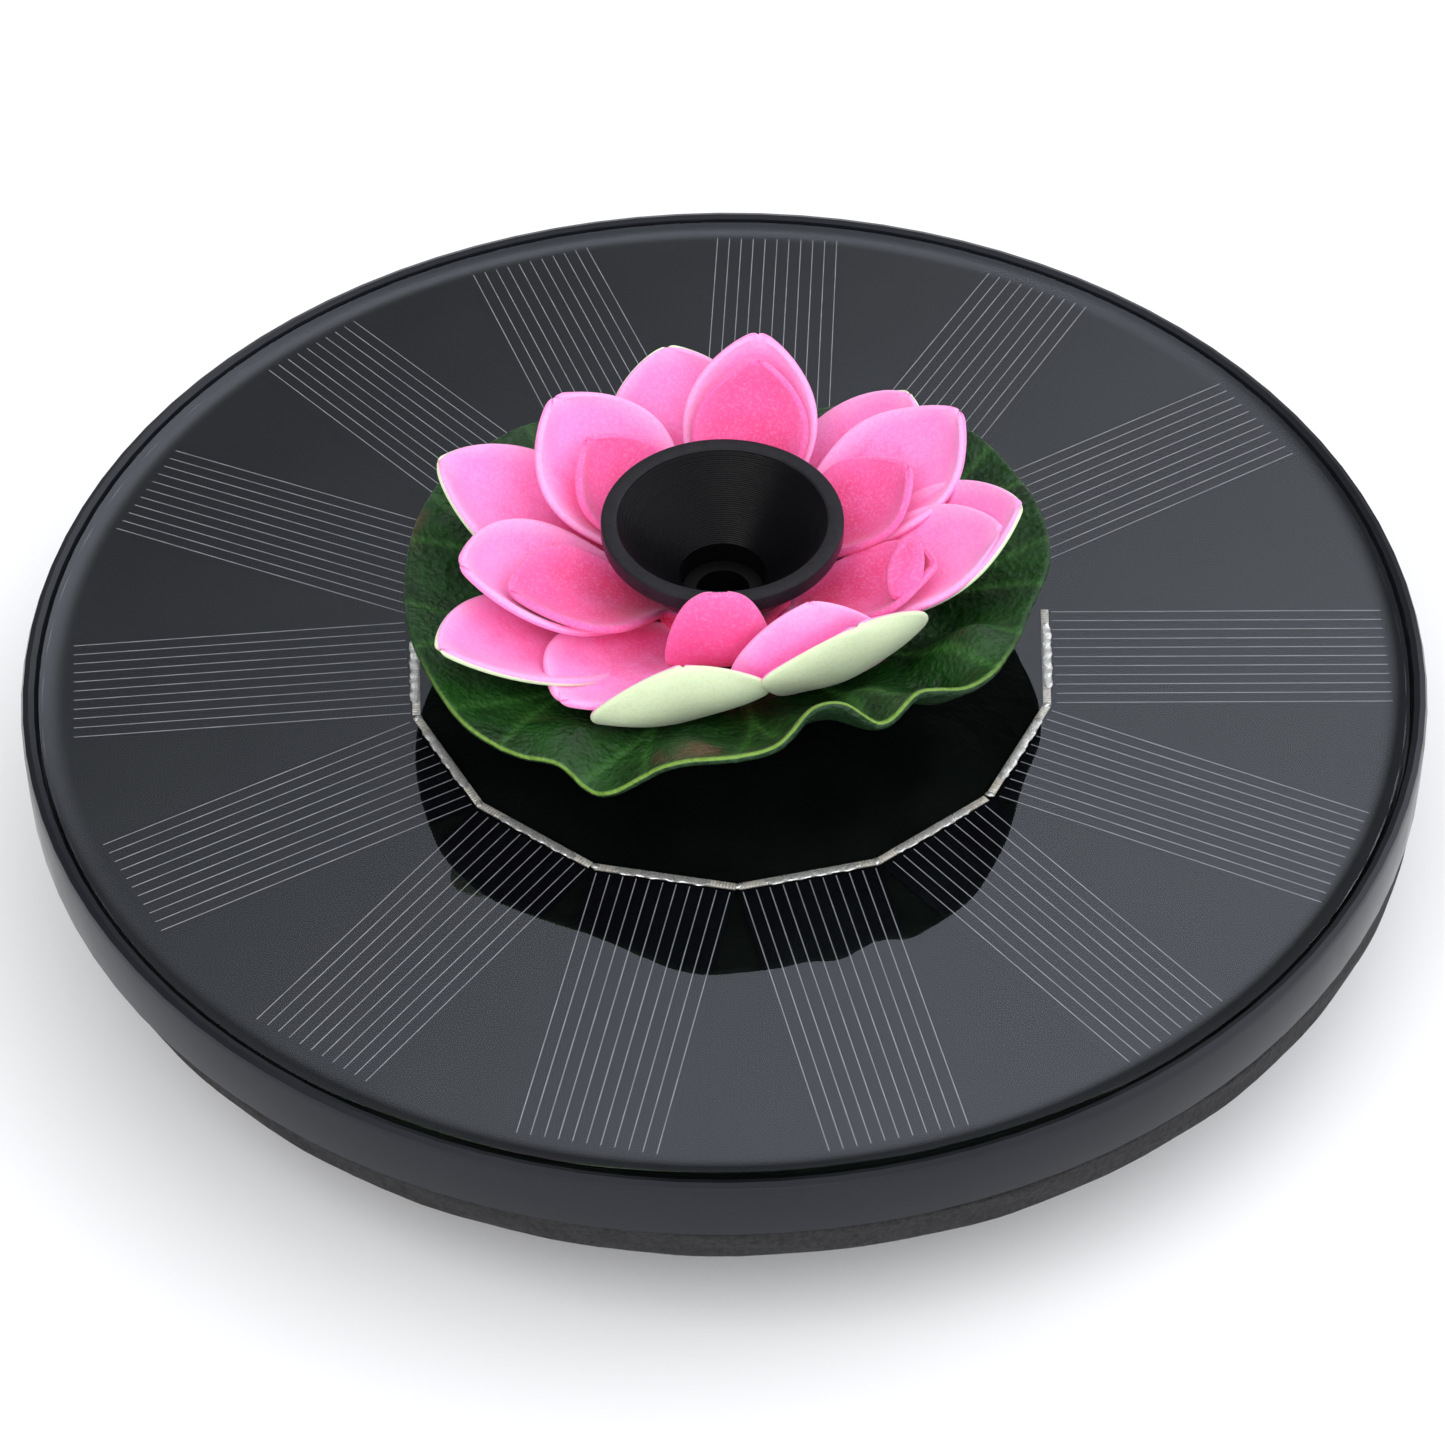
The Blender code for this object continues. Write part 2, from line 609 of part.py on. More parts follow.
def make_riser(material):
    foot = COVER_TOP + GAP
    outer = SOCKET_RADIUS + RISER_WALL
    socket_top = SPOUT_TOP + GAP
    profile = [
        (SOCKET_RADIUS, foot),
        (outer, foot),
        (outer, FLANGE_TOP - FLANGE_THICKNESS),
        (FLANGE_RADIUS, FLANGE_TOP - FLANGE_THICKNESS),
        (FLANGE_RADIUS, FLANGE_TOP),
        (NECK_RADIUS, FLANGE_TOP),
        (NECK_RADIUS, NECK_TOP),
        (SPOUT_BORE, NECK_TOP),
        (SPOUT_BORE, socket_top),
        (SOCKET_RADIUS, socket_top),
    ]
    turned("riser_pipe", profile, MIDDLE_STEPS, material)


def make_nozzle_cup(material):
    cone_foot = CUP_TOP - CUP_CONE
    edge = 1.2 * MM
    profile = [
        (CUP_BORE, CUP_BOTTOM),
        (CUP_SOCKET, CUP_BOTTOM),
        (CUP_SOCKET, cone_foot - 1 * MM),
        (CUP_RADIUS, CUP_TOP - edge),
        (CUP_RADIUS, CUP_TOP),
        (CUP_RADIUS - CUP_LIP, CUP_TOP),
        (CUP_BORE, cone_foot),
    ]
    turned("nozzle_cup", profile, MIDDLE_STEPS, material)


def make_dish(name, material, hub_z, reach, rise, curve, thickness, rows, columns):
    """A sheet with a hole round the nozzle, dished up towards its edge. reach gives the
    outline's radius and rise its height there, each for a bearing."""
    bm = bmesh.new()
    rings = []
    for row in range(rows + 1):
        out = row / rows
        below, above = [], []
        for column in range(columns):
            turn = 2 * pi * column / columns
            radius = HUB_RADIUS + (reach(turn) - HUB_RADIUS) * out
            share = (radius - HUB_RADIUS) / (reach(turn, full=True) - HUB_RADIUS)
            height = hub_z + rise(turn) * share**curve
            place = (radius * cos(turn), radius * sin(turn))
            below.append(bm.verts.new((*place, height)))
            above.append(bm.verts.new((*place, height + thickness)))
        rings.append((below, above))
    for column in range(columns):
        following = (column + 1) % columns
        for (low_in, high_in), (low_out, high_out) in zip(rings, rings[1:]):
            bm.faces.new((low_in[column], low_out[column], low_out[following], low_in[following]))
            bm.faces.new((high_in[column], high_in[following], high_out[following], high_out[column]))
        for low, high in (rings[0], rings[-1]):
            bm.faces.new((low[column], low[following], high[following], high[column]))
    return add_object(name, bm, material)


def make_lotus(leaf_green, pinks):
    def leaf_reach(turn, full=False):
        return LEAF_RADIUS * (1 if full else 0.97 + 0.03 * cos(5 * turn + 1))

    def leaf_rise(turn):
        return LEAF_RISE + 1.2 * MM * sin(6 * turn)

    make_dish("lotus_leaf", leaf_green, CUP_BOTTOM, leaf_reach, leaf_rise, 1.4, LEAF_THICKNESS, 3, 42)

    hub_z = CUP_BOTTOM + LEAF_THICKNESS + GAP
    layers = (
        ("outer", 40 * MM, 14 * MM, 0),
        ("middle", 34 * MM, 19 * MM, radians(30)),
        ("inner", 26 * MM, 17 * MM, radians(30)),
    )
    for (label, length, height, first), pink in zip(layers, pinks):

        def petal_reach(turn, full=False, length=length, first=first):
            if full:
                return length
            notch = HUB_RADIUS + 0.3 * (length - HUB_RADIUS)
            lobe = abs(cos(PETAL_COUNT * (turn - first) / 2))
            return notch + (length - notch) * lobe**0.7

        def petal_rise(turn, height=height):
            return height

        make_dish(
            f"petal_layer_{label}", pink, hub_z, petal_reach, petal_rise, 1.3, PETAL_THICKNESS,
            3, 6 * PETAL_COUNT,
        )
        hub_z += PETAL_THICKNESS + GAP


def main():
    clear_scene()
    tray_black = make_material("tray_black", (0.012, 0.013, 0.016), 0.22)
    pump_black = make_material("pump_black", (0.016, 0.016, 0.017), 0.42)
    nozzle_black = make_material("nozzle_black", (0.014, 0.014, 0.015), 0.35)
    board_black = make_material("board_black", (0.01, 0.011, 0.012), 0.5)
    driver_green = make_material("driver_green", (0.02, 0.13, 0.05), 0.45)
    silicon = make_material("silicon", (0.012, 0.013, 0.022), 0.2)
    tinned = make_material("tinned_copper", (0.72, 0.72, 0.68), 0.3, 1.0)
    clear_epoxy = make_material("clear_epoxy", (0.03, 0.032, 0.04), 0.03)
    foam = make_material("charcoal_foam", (0.018, 0.018, 0.02), 0.95)
    rubber = make_material("black_rubber", (0.014, 0.014, 0.014), 0.8)
    steel = make_material("steel", (0.55, 0.55, 0.56), 0.35, 1.0)
    copper = make_material("copper_wire", (0.72, 0.33, 0.14), 0.35, 1.0)
    magnet = make_material("ferrite_magnet", (0.05, 0.05, 0.052), 0.5)
    ceramic = make_material("ceramic", (0.85, 0.84, 0.8), 0.25)
    leaf_green = make_material("leaf_green", (0.02, 0.085, 0.022), 0.4)
    pinks = [
        make_material("outer_pink", (0.92, 0.36, 0.58), 0.85),
        make_material("middle_pink", (0.93, 0.27, 0.53), 0.85),
        make_material("inner_pink", (0.93, 0.14, 0.42), 0.85),
    ]

    make_float_housing(tray_black)
    make_panel(board_black, silicon, tinned, clear_epoxy)
    make_foam_ring(foam)
    seal_outer = SOCKET_RADIUS + BOSS_WALL - GAP
    make_washer(
        "outlet_seal", SOCKET_RADIUS, seal_outer, FLOOR_TOP + 1 * MM + GAP, LEDGE_Z - GAP, rubber, SMALL_STEPS
    )
    axis = add_empty("pump_axis", (0, 0, PUMP_Z))
    make_motor(pump_black, steel, copper, driver_green, axis)
    cover_front = make_pump_head(pump_black, rubber, axis)
    make_rotor(pump_black, magnet, ceramic, cover_front, axis)
    make_strap(pump_black, steel)
    make_lead(rubber)
    make_strainer(pump_black)
    make_riser(nozzle_black)
    make_nozzle_cup(nozzle_black)
    make_lotus(leaf_green, pinks)


main()
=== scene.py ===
"""Looks of the floating solar fountain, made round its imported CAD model.

Metres, +Z up, in the CAD's own frame. Sizes are in millimetres times MM. Heights of the
leaf's edge and of the petals are measured from the top of the solar cells. Bearings run
round the Z axis, anticlockwise from +X, and the photographer stands at -Y.
"""

from math import cos, log, pi, radians, sin, tau

import bmesh
import bpy
import numpy as np
from mathutils import Matrix, Vector


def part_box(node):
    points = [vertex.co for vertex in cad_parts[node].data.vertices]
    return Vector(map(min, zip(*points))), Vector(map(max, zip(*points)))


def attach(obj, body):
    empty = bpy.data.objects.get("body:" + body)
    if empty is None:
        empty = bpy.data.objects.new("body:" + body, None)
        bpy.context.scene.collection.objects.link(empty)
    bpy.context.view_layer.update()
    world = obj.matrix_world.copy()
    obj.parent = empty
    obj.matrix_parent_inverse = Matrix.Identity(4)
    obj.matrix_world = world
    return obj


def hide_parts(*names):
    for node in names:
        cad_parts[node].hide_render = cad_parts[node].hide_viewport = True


MM = 0.001

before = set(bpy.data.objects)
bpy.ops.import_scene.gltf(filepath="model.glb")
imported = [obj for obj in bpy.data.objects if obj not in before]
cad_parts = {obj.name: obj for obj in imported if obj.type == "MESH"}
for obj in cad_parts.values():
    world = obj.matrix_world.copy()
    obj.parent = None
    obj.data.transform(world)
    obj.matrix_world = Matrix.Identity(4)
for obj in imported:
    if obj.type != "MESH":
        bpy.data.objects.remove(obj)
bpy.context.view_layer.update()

# Places taken from the frame
CELL_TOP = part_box("solar_cell_01")[1].z
BOARD_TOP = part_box("backing_board")[1].z
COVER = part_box("epoxy_cover")
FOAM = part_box("foam_float_ring")
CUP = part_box("nozzle_cup")
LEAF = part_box("lotus_leaf")

# Camera
LENS = 121.1
CAMERA_ELEVATION = radians(44.65)
CAMERA_ROLL = radians(-0.6)
CAMERA_DISTANCE = 617.5 * MM
CAMERA_TARGET = (-0.24 * MM, -11.54 * MM, CELL_TOP)

# Solar panel
CELL_COUNT = 14
CELL_PITCH = radians(25)
FIRST_CELL = radians(-2)
CELL_WIDTH = 18 * MM
CELL_START = 41.4 * MM
CELL_END = 84.6 * MM
PANEL_CENTRE = np.array((0.9, 0.9)) * MM
FINGER_PITCH = 1.68 * MM
FINGER_WIDTH = 0.12 * MM
FINGER_HEIGHT = 0.03 * MM
RIBBON_WIDTH = 1.0 * MM
RIBBON_GAP = 0.35 * MM
BUSBAR_HEIGHT = 0.1 * MM
# How far each cell lies turned from its true bearing, in degrees, and its count of fingers
CELL_LAY = (
    (1.5, 11), (1, 11), (1, 10), (0, 11), (0, 11), (0.4, 11), (1.5, 11),
    (2, 11), (-1.5, 11), (-0.5, 10), (2, 11), (4, 11), (2, 10), (-2, 11),
)

# Epoxy: how far it creeps up the rim and the spout, and how wide each slope is
SPOUT_HOLE_RADIUS = 5.6 * MM
RIM_CREEP, RIM_CREEP_WIDTH = 0.55 * MM, 3.4 * MM
SPOUT_CREEP, SPOUT_CREEP_WIDTH = 0.3 * MM, 1.2 * MM
CREEP_POWER = 2.6

# Foam ring
FOAM_WIDTH = 30 * MM
FOAM_CORNER = 0.7 * MM

# Nozzle cup
CUP_DEPTH = 9.3 * MM
CUP_LIP = 2.1 * MM
CUP_ROUNDING = 0.35 * MM
CUP_THROAT_RADIUS = 5.5 * MM
CUP_SOCKET_RADIUS = 5.4 * MM
CUP_HUB_RADIUS = 7 * MM
MOULD_RINGS, MOULD_RING_DEPTH = 44, 0.03 * MM

# Flower
FLOWER_CENTRE = np.array((0.7, 0, 0)) * MM
HUB_RADIUS = 7.3 * MM
PETAL_THICKNESS = 1.05 * MM
LEAF_THICKNESS = 1.1 * MM
PETAL_ROWS, PETAL_COLUMNS = 44, 31
PETAL_DISC_RADIUS = 10 * MM

# Sky: brightest toward one direction, and dimmed straight overhead
SKY_DIRECTION = (1.3, 0.0, 2.54)
SKY_FADE, SKY_STRENGTH = (1.43, 2.13), (0.35, 2.05)
OVERHEAD_FADE, OVERHEAD_SHARE = (0.82, 0.97), (1.0, 0.55)
SKY_COLOUR = (0.95, 0.965, 1.0, 1)

random = np.random.default_rng(7)


# Meshes


def add_piece(name, body, parts, finish, sharp=None, stands_for=()):
    """One object made of closed shells. Each part is (points, faces, {attribute: values}),
    or (points, faces, attributes, material index)."""
    points, faces, indices, layers = [], [], [], {}
    count = 0
    for part in parts:
        shell_points, shell_faces, attributes = part[:3]
        points.append(np.asarray(shell_points, float).reshape(-1, 3))
        faces += [tuple(int(i) + count for i in face) for face in shell_faces]
        indices += [part[3] if len(part) > 3 else 0] * len(shell_faces)
        for label, values in attributes.items():
            layers.setdefault(label, []).append(np.asarray(values, np.float32).ravel())
        count += len(points[-1])
    mesh = bpy.data.meshes.new(name)
    mesh.from_pydata(np.concatenate(points).tolist(), [], faces)
    for label, values in layers.items():
        layer = mesh.attributes.new(label, "FLOAT", "POINT")
        layer.data.foreach_set("value", np.concatenate(values))
    mesh.polygons.foreach_set("material_index", indices)
    bm = bmesh.new()
    bm.from_mesh(mesh)
    bmesh.ops.recalc_face_normals(bm, faces=bm.faces)
    bm.to_mesh(mesh)
    bm.free()
    mesh.polygons.foreach_set("use_smooth", [True] * len(mesh.polygons))
    if sharp is not None:
        mesh.set_sharp_from_angle(angle=radians(sharp))
    for material in finish if isinstance(finish, (list, tuple)) else [finish]:
        mesh.materials.append(material)
    obj = bpy.data.objects.new(name, mesh)
    bpy.context.scene.collection.objects.link(obj)
    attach(obj, body)
    if stands_for:
        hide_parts(*stands_for)
    return obj


def grid_faces(rows, columns, wrap_rows=False, wrap_columns=False):
    faces = []
    for i in range(rows if wrap_rows else rows - 1):
        for j in range(columns if wrap_columns else columns - 1):
            a, b = i % rows, (i + 1) % rows
            c, d = j % columns, (j + 1) % columns
            faces.append((a * columns + c, a * columns + d, b * columns + d, b * columns + c))
    return faces


def turned(profile, steps, wobble=None):
    """A closed loop of (radius, height) points turned about the Z axis."""
    radius, height = np.array(profile, float).T
    turns = tau * np.arange(steps) / steps
    radius = np.repeat(radius[:, None], steps, 1)
    height = np.repeat(height[:, None], steps, 1)
    if wobble is not None:
        radius, height = wobble(radius, height, turns)
    points = np.stack([radius * np.cos(turns), radius * np.sin(turns), height], 2)
    return points.reshape(-1, 3), grid_faces(len(profile), steps, True, True), {}


def arc(centre, radius, start, end, count=8):
    """(radius, height) points on an arc, from start to end degrees."""
    turns = np.radians(np.linspace(start, end, count))
    return [(centre[0] + radius * cos(t), centre[1] + radius * sin(t)) for t in turns]


def bar(low, high, bearing, centre):
    """A box from (near, side, bottom) to (far, side, top), turned about centre to a bearing."""
    near, left, bottom = low
    far, right, top = high
    corners = np.array([(x, y, z) for x in (near, far) for y in (left, right) for z in (bottom, top)])
    faces = [(0, 1, 3, 2), (4, 6, 7, 5), (0, 4, 5, 1), (2, 3, 7, 6), (0, 2, 6, 4), (1, 5, 7, 3)]
    return turned_about(corners, bearing, centre), faces, {}


def turned_about(points, bearing, centre):
    c, s = cos(bearing), sin(bearing)
    x = points[..., 0] * c - points[..., 1] * s + centre[0]
    y = points[..., 0] * s + points[..., 1] * c + centre[1]
    return np.stack([x, y, points[..., 2]], -1)


def unit(vectors):
    return vectors / np.maximum(np.linalg.norm(vectors, axis=-1, keepdims=True), 1e-12)


def sheet_shell(surface, thickness, rim, wrap=False, layers=None):
    """A closed sheet round a grid of points. It keeps its thickness but for a rounded
    border, where rim, the distance from the border, falls to nothing."""
    rows, columns = surface.shape[:2]
    if wrap:
        across = np.roll(surface, -1, 1) - np.roll(surface, 1, 1)
    else:
        across = np.gradient(surface, axis=1)
    along = np.gradient(surface, axis=0)
    normal = unit(np.cross(along, across))
    if normal[rows // 2, :, 2].mean() < 0:
        normal = -normal
    half = thickness / 2
    share = np.clip(rim / half, 0, 1)
    offset = normal * (half * np.sqrt(1 - (1 - share) ** 2))[..., None]
    upper = (surface + offset).reshape(-1, 3)
    lower = (surface - offset).reshape(-1, 3)
    border = np.zeros((rows, columns), bool)
    border[0] = border[-1] = True
    if not wrap:
        border[:, 0] = border[:, -1] = True
    border = border.ravel()
    below = np.arange(rows * columns)
    below[~border] = rows * columns + np.arange((~border).sum())
    faces = grid_faces(rows, columns, wrap_columns=wrap)
    under = [tuple(below[i] for i in reversed(face)) for face in faces]
    values = {"rim": rim / MM, **(layers or {})}
    attributes = {
        label: np.concatenate([value.ravel(), value.ravel()[~border]])
        for label, value in values.items()
    }
    outside = np.concatenate([np.where(border, 0.5, 0.0), np.ones((~border).sum())])
    attributes["outside"] = outside
    return np.concatenate([upper, lower[~border]]), faces + under, attributes


def round_curve(knots, bearings):
    """Values at the bearings of a smooth closed curve through (bearing, value, ...) knots."""
    knots = np.array(sorted(knots), float)
    where = np.concatenate([knots[:, 0] - 360, knots[:, 0], knots[:, 0] + 360])
    values = np.tile(knots[:, 1:], (3, 1))
    slopes = np.gradient(values, where, axis=0)
    span = np.clip(np.searchsorted(where, bearings, "right") - 1, 0, len(where) - 2)
    width = (where[span + 1] - where[span])[:, None]
    t = ((bearings - where[span])[:, None]) / width
    return (
        (2 * t**3 - 3 * t**2 + 1) * values[span] + (t**3 - 2 * t**2 + t) * width * slopes[span]
        + (3 * t**2 - 2 * t**3) * values[span + 1] + (t**3 - t**2) * width * slopes[span + 1]
    )


# Materials


class Finish:
    """A material with one Principled shader, and short ways to add nodes to it."""

    def __init__(self, name, colour, roughness, **sockets):
        self.material = bpy.data.materials.new(name)
        self.material.use_nodes = True
        self.tree = self.material.node_tree
        self.shader = self.tree.nodes["Principled BSDF"]
        self.set("Base Color", (*colour, 1))
        self.set("Roughness", roughness)
        for socket, value in sockets.items():
            self.set(socket.replace("_", " ").title().replace("Ior", "IOR"), value)
        self.place = self.add("ShaderNodeTexCoord").outputs["Object"]

    def set(self, socket, value):
        if isinstance(value, bpy.types.NodeSocket):
            self.tree.links.new(value, self.shader.inputs[socket])
        else:
            self.shader.inputs[socket].default_value = value

    def add(self, kind, inputs=(), **settings):
        node = self.tree.nodes.new(kind)
        for label, value in settings.items():
            setattr(node, label, value)
        for socket, value in dict(inputs).items():
            if isinstance(value, bpy.types.NodeSocket):
                self.tree.links.new(value, node.inputs[socket])
            else:
                node.inputs[socket].default_value = value
        return node

    def noise(self, size, detail=3, rough=0.55, stretch=None, distortion=0):
        """Noise whose features are about size across, in metres."""
        place = self.place
        if stretch:
            stretched = self.add("ShaderNodeVectorMath", {0: place, 1: stretch}, operation="MULTIPLY")
            place = stretched.outputs[0]
        values = {"Vector": place, "Scale": 1 / size, "Detail": detail, "Roughness": rough,
                  "Distortion": distortion}
        return self.add("ShaderNodeTexNoise", values).outputs["Fac"]

    def cells(self, size):
        inputs = {"Vector": self.place, "Scale": 1 / size}
        return self.add("ShaderNodeTexVoronoi", inputs).outputs["Distance"]

    def attribute(self, name):
        return self.add("ShaderNodeAttribute", attribute_name=name).outputs["Fac"]

    def fit(self, value, low, high, to_low=0.0, to_high=1.0, smooth=False):
        inputs = {"Value": value, "From Min": low, "From Max": high, "To Min": to_low, "To Max": to_high}
        node = self.add("ShaderNodeMapRange", inputs)
        if smooth:
            node.interpolation_type = "SMOOTHSTEP"
        return node.outputs["Result"]

    def math(self, operation, a, b):
        return self.add("ShaderNodeMath", {0: a, 1: b}, operation=operation).outputs[0]

    def mix(self, factor, a, b, blend="MIX"):
        node = self.add("ShaderNodeMix", data_type="RGBA", blend_type=blend)
        for socket, value in zip((node.inputs[0], node.inputs[6], node.inputs[7]), (factor, a, b)):
            if isinstance(value, bpy.types.NodeSocket):
                self.tree.links.new(value, socket)
            elif isinstance(value, tuple):
                socket.default_value = (*value, 1)
            else:
                socket.default_value = value
        return node.outputs[2]

    def bump(self, height, depth, strength=1.0):
        inputs = {"Height": height, "Distance": depth, "Strength": strength}
        previous = self.shader.inputs["Normal"]
        node = self.add("ShaderNodeBump", inputs)
        if previous.is_linked:
            self.tree.links.new(previous.links[0].from_socket, node.inputs["Normal"])
        self.tree.links.new(node.outputs[0], previous)


def mottled(name, dark, light, size, roughness, bump_size, bump_depth, **sockets):
    """A plain finish with a gentle change of colour, uneven gloss and a fine grain."""
    low, high = roughness
    finish = Finish(name, dark, (low + high) / 2, **sockets)
    patches = finish.noise(size)
    finish.set("Base Color", finish.mix(finish.fit(patches, 0.35, 0.65), dark, light))
    finish.set("Roughness", finish.fit(finish.noise(size * 0.4, 2), 0.3, 0.7, low, high))
    finish.bump(finish.noise(bump_size, 2), bump_depth)
    return finish.material


def make_tray_finish():
    finish = Finish("tray_black_gloss", (0.008, 0.009, 0.012), 0.2, specular_ior_level=0.29,
                    specular_tint=(0.86, 0.9, 1, 1))
    haze = finish.noise(22 * MM, 3)
    finish.set("Base Color", finish.mix(haze, (0.0055, 0.006, 0.008), (0.009, 0.01, 0.0125)))
    finish.set("Roughness", finish.fit(finish.noise(6 * MM, 4), 0.3, 0.7, 0.16, 0.27))
    finish.bump(finish.noise(2.4 * MM, 2), 0.008 * MM)
    return finish.material


def make_epoxy_finish():
    """Clear cast resin. Light on its way to or from a matt surface passes straight through,
    so what is below stays evenly lit."""
    finish = Finish("clear_epoxy_gloss", (0.965, 0.975, 1), 0.015, transmission_weight=1.0, ior=1.56,
                    specular_tint=(0.82, 0.88, 1, 1))
    finish.bump(finish.noise(34 * MM, 1), 0.03 * MM)
    tree = finish.tree
    clear = finish.add("ShaderNodeBsdfTransparent", {"Color": (0.95, 0.96, 0.97, 1)})
    path = finish.add("ShaderNodeLightPath")
    choose = finish.add("ShaderNodeMixShader")
    straight = finish.math("MAXIMUM", path.outputs["Is Shadow Ray"], path.outputs["Is Diffuse Ray"])
    tree.links.new(straight, choose.inputs[0])
    tree.links.new(finish.shader.outputs[0], choose.inputs[1])
    tree.links.new(clear.outputs[0], choose.inputs[2])
    tree.links.new(choose.outputs[0], tree.nodes["Material Output"].inputs["Surface"])
    return finish.material


def make_petal_finish(name, tip, root, border, back, back_root):
    """Heat-formed foam: a speckled pink that deepens to the root, and pales to the border."""
    finish = Finish(name, tip, 0.8, sheen_weight=0.2, sheen_roughness=0.5,
                    subsurface_weight=0.12, subsurface_scale=0.6 * MM)
    finish.shader.inputs["Subsurface Radius"].default_value = (1.0, 0.35, 0.5)
    along = finish.attribute("along")
    cloud = finish.noise(3.2 * MM, 4, 0.6)
    drift = finish.fit(cloud, 0.3, 0.7, -0.14, 0.14)
    depth = finish.fit(finish.math("ADD", along, drift), 0.15, 0.8, smooth=True)
    front = finish.mix(depth, root, tip)
    near_rim = finish.math("ADD", finish.attribute("rim"), finish.fit(cloud, 0.3, 0.7, -0.5, 0.5))
    front = finish.mix(finish.fit(near_rim, 0, 3.4, 0.8, 0, True), front, border)
    rear = finish.mix(finish.fit(along, 0.1, 0.75, smooth=True), back_root, back)
    fleck = finish.noise(0.4 * MM, 2, 0.7)
    colour = finish.mix(finish.fit(finish.attribute("outside"), 0.62, 0.85), front, rear)
    colour = finish.mix(finish.fit(fleck, 0.5, 0.68, 0, 0.12), colour, (1, 0.75, 0.9))
    colour = finish.mix(finish.fit(fleck, 0.5, 0.34, 0, 0.1), colour, root, "MULTIPLY")
    finish.set("Base Color", colour)
    finish.set("Roughness", finish.fit(fleck, 0.3, 0.7, 0.7, 0.9))
    finish.bump(finish.noise(0.5 * MM, 4, 0.7), 0.07 * MM)
    finish.bump(cloud, 0.12 * MM)
    return finish.material


def make_leaf_finish():
    """Dark embossed foam, with lighter veins, a yellow-green front edge and painted highlights: grey-green
    glints in patches.
    """
    finish = Finish("lotus_leaf_green", (0.01, 0.05, 0.015), 0.35, specular_ior_level=0.3)
    patches = finish.noise(9 * MM, 4, 0.6)
    colour = finish.mix(finish.fit(patches, 0.35, 0.65), (0.0022, 0.018, 0.0022), (0.008, 0.056, 0.0055))
    vein = finish.attribute("vein")
    colour = finish.mix(finish.math("MULTIPLY", vein, 0.6), colour, (0.06, 0.2, 0.035))
    depth = finish.add("ShaderNodeSeparateXYZ", {0: finish.place}).outputs["Y"]
    front = finish.fit(depth, -12 * MM, -32 * MM, smooth=True)
    blush = finish.fit(finish.noise(13 * MM, 2, 0.5, distortion=0.6), 0.62, 0.75, 0, 0.6, True)
    near_rim = finish.fit(finish.attribute("rim"), 10, 3)
    colour = finish.mix(finish.math("MULTIPLY", blush, near_rim), colour, (0.13, 0.04, 0.03))
    edge = finish.fit(finish.attribute("rim"), 0.32, 0.06, 0, 0.8, True)
    colour = finish.mix(finish.math("MULTIPLY", edge, front), colour, (0.2, 0.36, 0.05))
    # Painted highlights: grey-green glints, fine speckles within large patches, stand in for gloss catching
    # the light
    glint_patches = finish.fit(finish.noise(11 * MM, 2, 0.5), 0.5, 0.68, 0, 0.8, True)
    fine_speckle = finish.fit(finish.noise(0.8 * MM, 4, 0.75), 0.5, 0.66, 0, 0.6)
    colour = finish.mix(finish.math("MULTIPLY", fine_speckle, glint_patches), colour, (0.075, 0.13, 0.075))
    underside = finish.fit(finish.attribute("outside"), 0.3, 0.7)
    colour = finish.mix(underside, colour, (0.015, 0.045, 0.016))
    finish.set("Base Color", colour)
    finish.set("Roughness", finish.fit(finish.noise(2 * MM, 4, 0.7), 0.3, 0.7, 0.24, 0.42))
    finish.bump(finish.cells(0.9 * MM), 0.2 * MM)
    finish.bump(finish.noise(0.5 * MM, 3, 0.7), 0.16 * MM)
    finish.bump(finish.noise(4.5 * MM, 3, 0.6), 1.0 * MM)
    return finish.material


def make_foam_finish():
    finish = Finish("charcoal_foam_grain", (0.02, 0.02, 0.021), 0.95)
    grain = finish.noise(0.8 * MM, 5, 0.75)
    colour = finish.mix(finish.fit(grain, 0.3, 0.7), (0.003, 0.003, 0.0035), (0.026, 0.026, 0.027))
    finish.set("Base Color", colour)
    finish.bump(finish.cells(0.7 * MM), 0.16 * MM)
    finish.bump(grain, 0.2 * MM)
    return finish.material


def make_nozzle_finish():
    finish = Finish("nozzle_black_ringed", (0.004, 0.0036, 0.0042), 0.3, specular_ior_level=0.1)
    # Painted light: the lip is coloured lighter than the inside of the cone, as if its flat top caught the
    # light; the speckle mottles that lighter colour
    fine_speckle = finish.fit(finish.noise(1.1 * MM, 3, 0.6), 0.3, 0.7)
    lip = finish.mix(fine_speckle, (0.014, 0.0135, 0.0155), (0.019, 0.018, 0.021))
    finish.set("Base Color", finish.mix(finish.attribute("lip"), (0.0028, 0.0024, 0.003), lip))
    gloss = finish.noise(1.5 * MM, 4, 0.7, stretch=(1, 1, 5))
    finish.set("Roughness", finish.fit(gloss, 0.3, 0.7, 0.24, 0.4))
    finish.bump(finish.noise(0.5 * MM, 3, 0.7, stretch=(0.6, 0.6, 6)), 0.03 * MM)
    return finish.material


def make_silicon_finish():
    finish = Finish("silicon_dark", (0.003, 0.003, 0.005), 0.35, specular_ior_level=0.0)
    streak = finish.noise(7 * MM, 3, 0.6)
    finish.set("Base Color", finish.mix(streak, (0.0016, 0.0017, 0.0026), (0.003, 0.003, 0.0042)))
    return finish.material


def make_solder_finish(name, dark, light, metallic, roughness):
    finish = Finish(name, light, roughness, metallic=metallic)
    grime = finish.noise(0.9 * MM, 4, 0.7)
    finish.set("Base Color", finish.mix(finish.fit(grime, 0.3, 0.6), dark, light))
    finish.set("Roughness", finish.fit(grime, 0.3, 0.7, roughness + 0.2, roughness))
    finish.bump(finish.noise(0.45 * MM, 4, 0.7), 0.05 * MM)
    return finish.material


def make_floor_finish():
    finish = Finish("pale_floor", (0.9, 0.9, 0.9), 0.75, specular_ior_level=0.1)
    finish.set("Base Color", finish.mix(finish.noise(0.8, 2), (0.89, 0.89, 0.89), (0.91, 0.91, 0.91)))
    return finish.material


# Solar panel


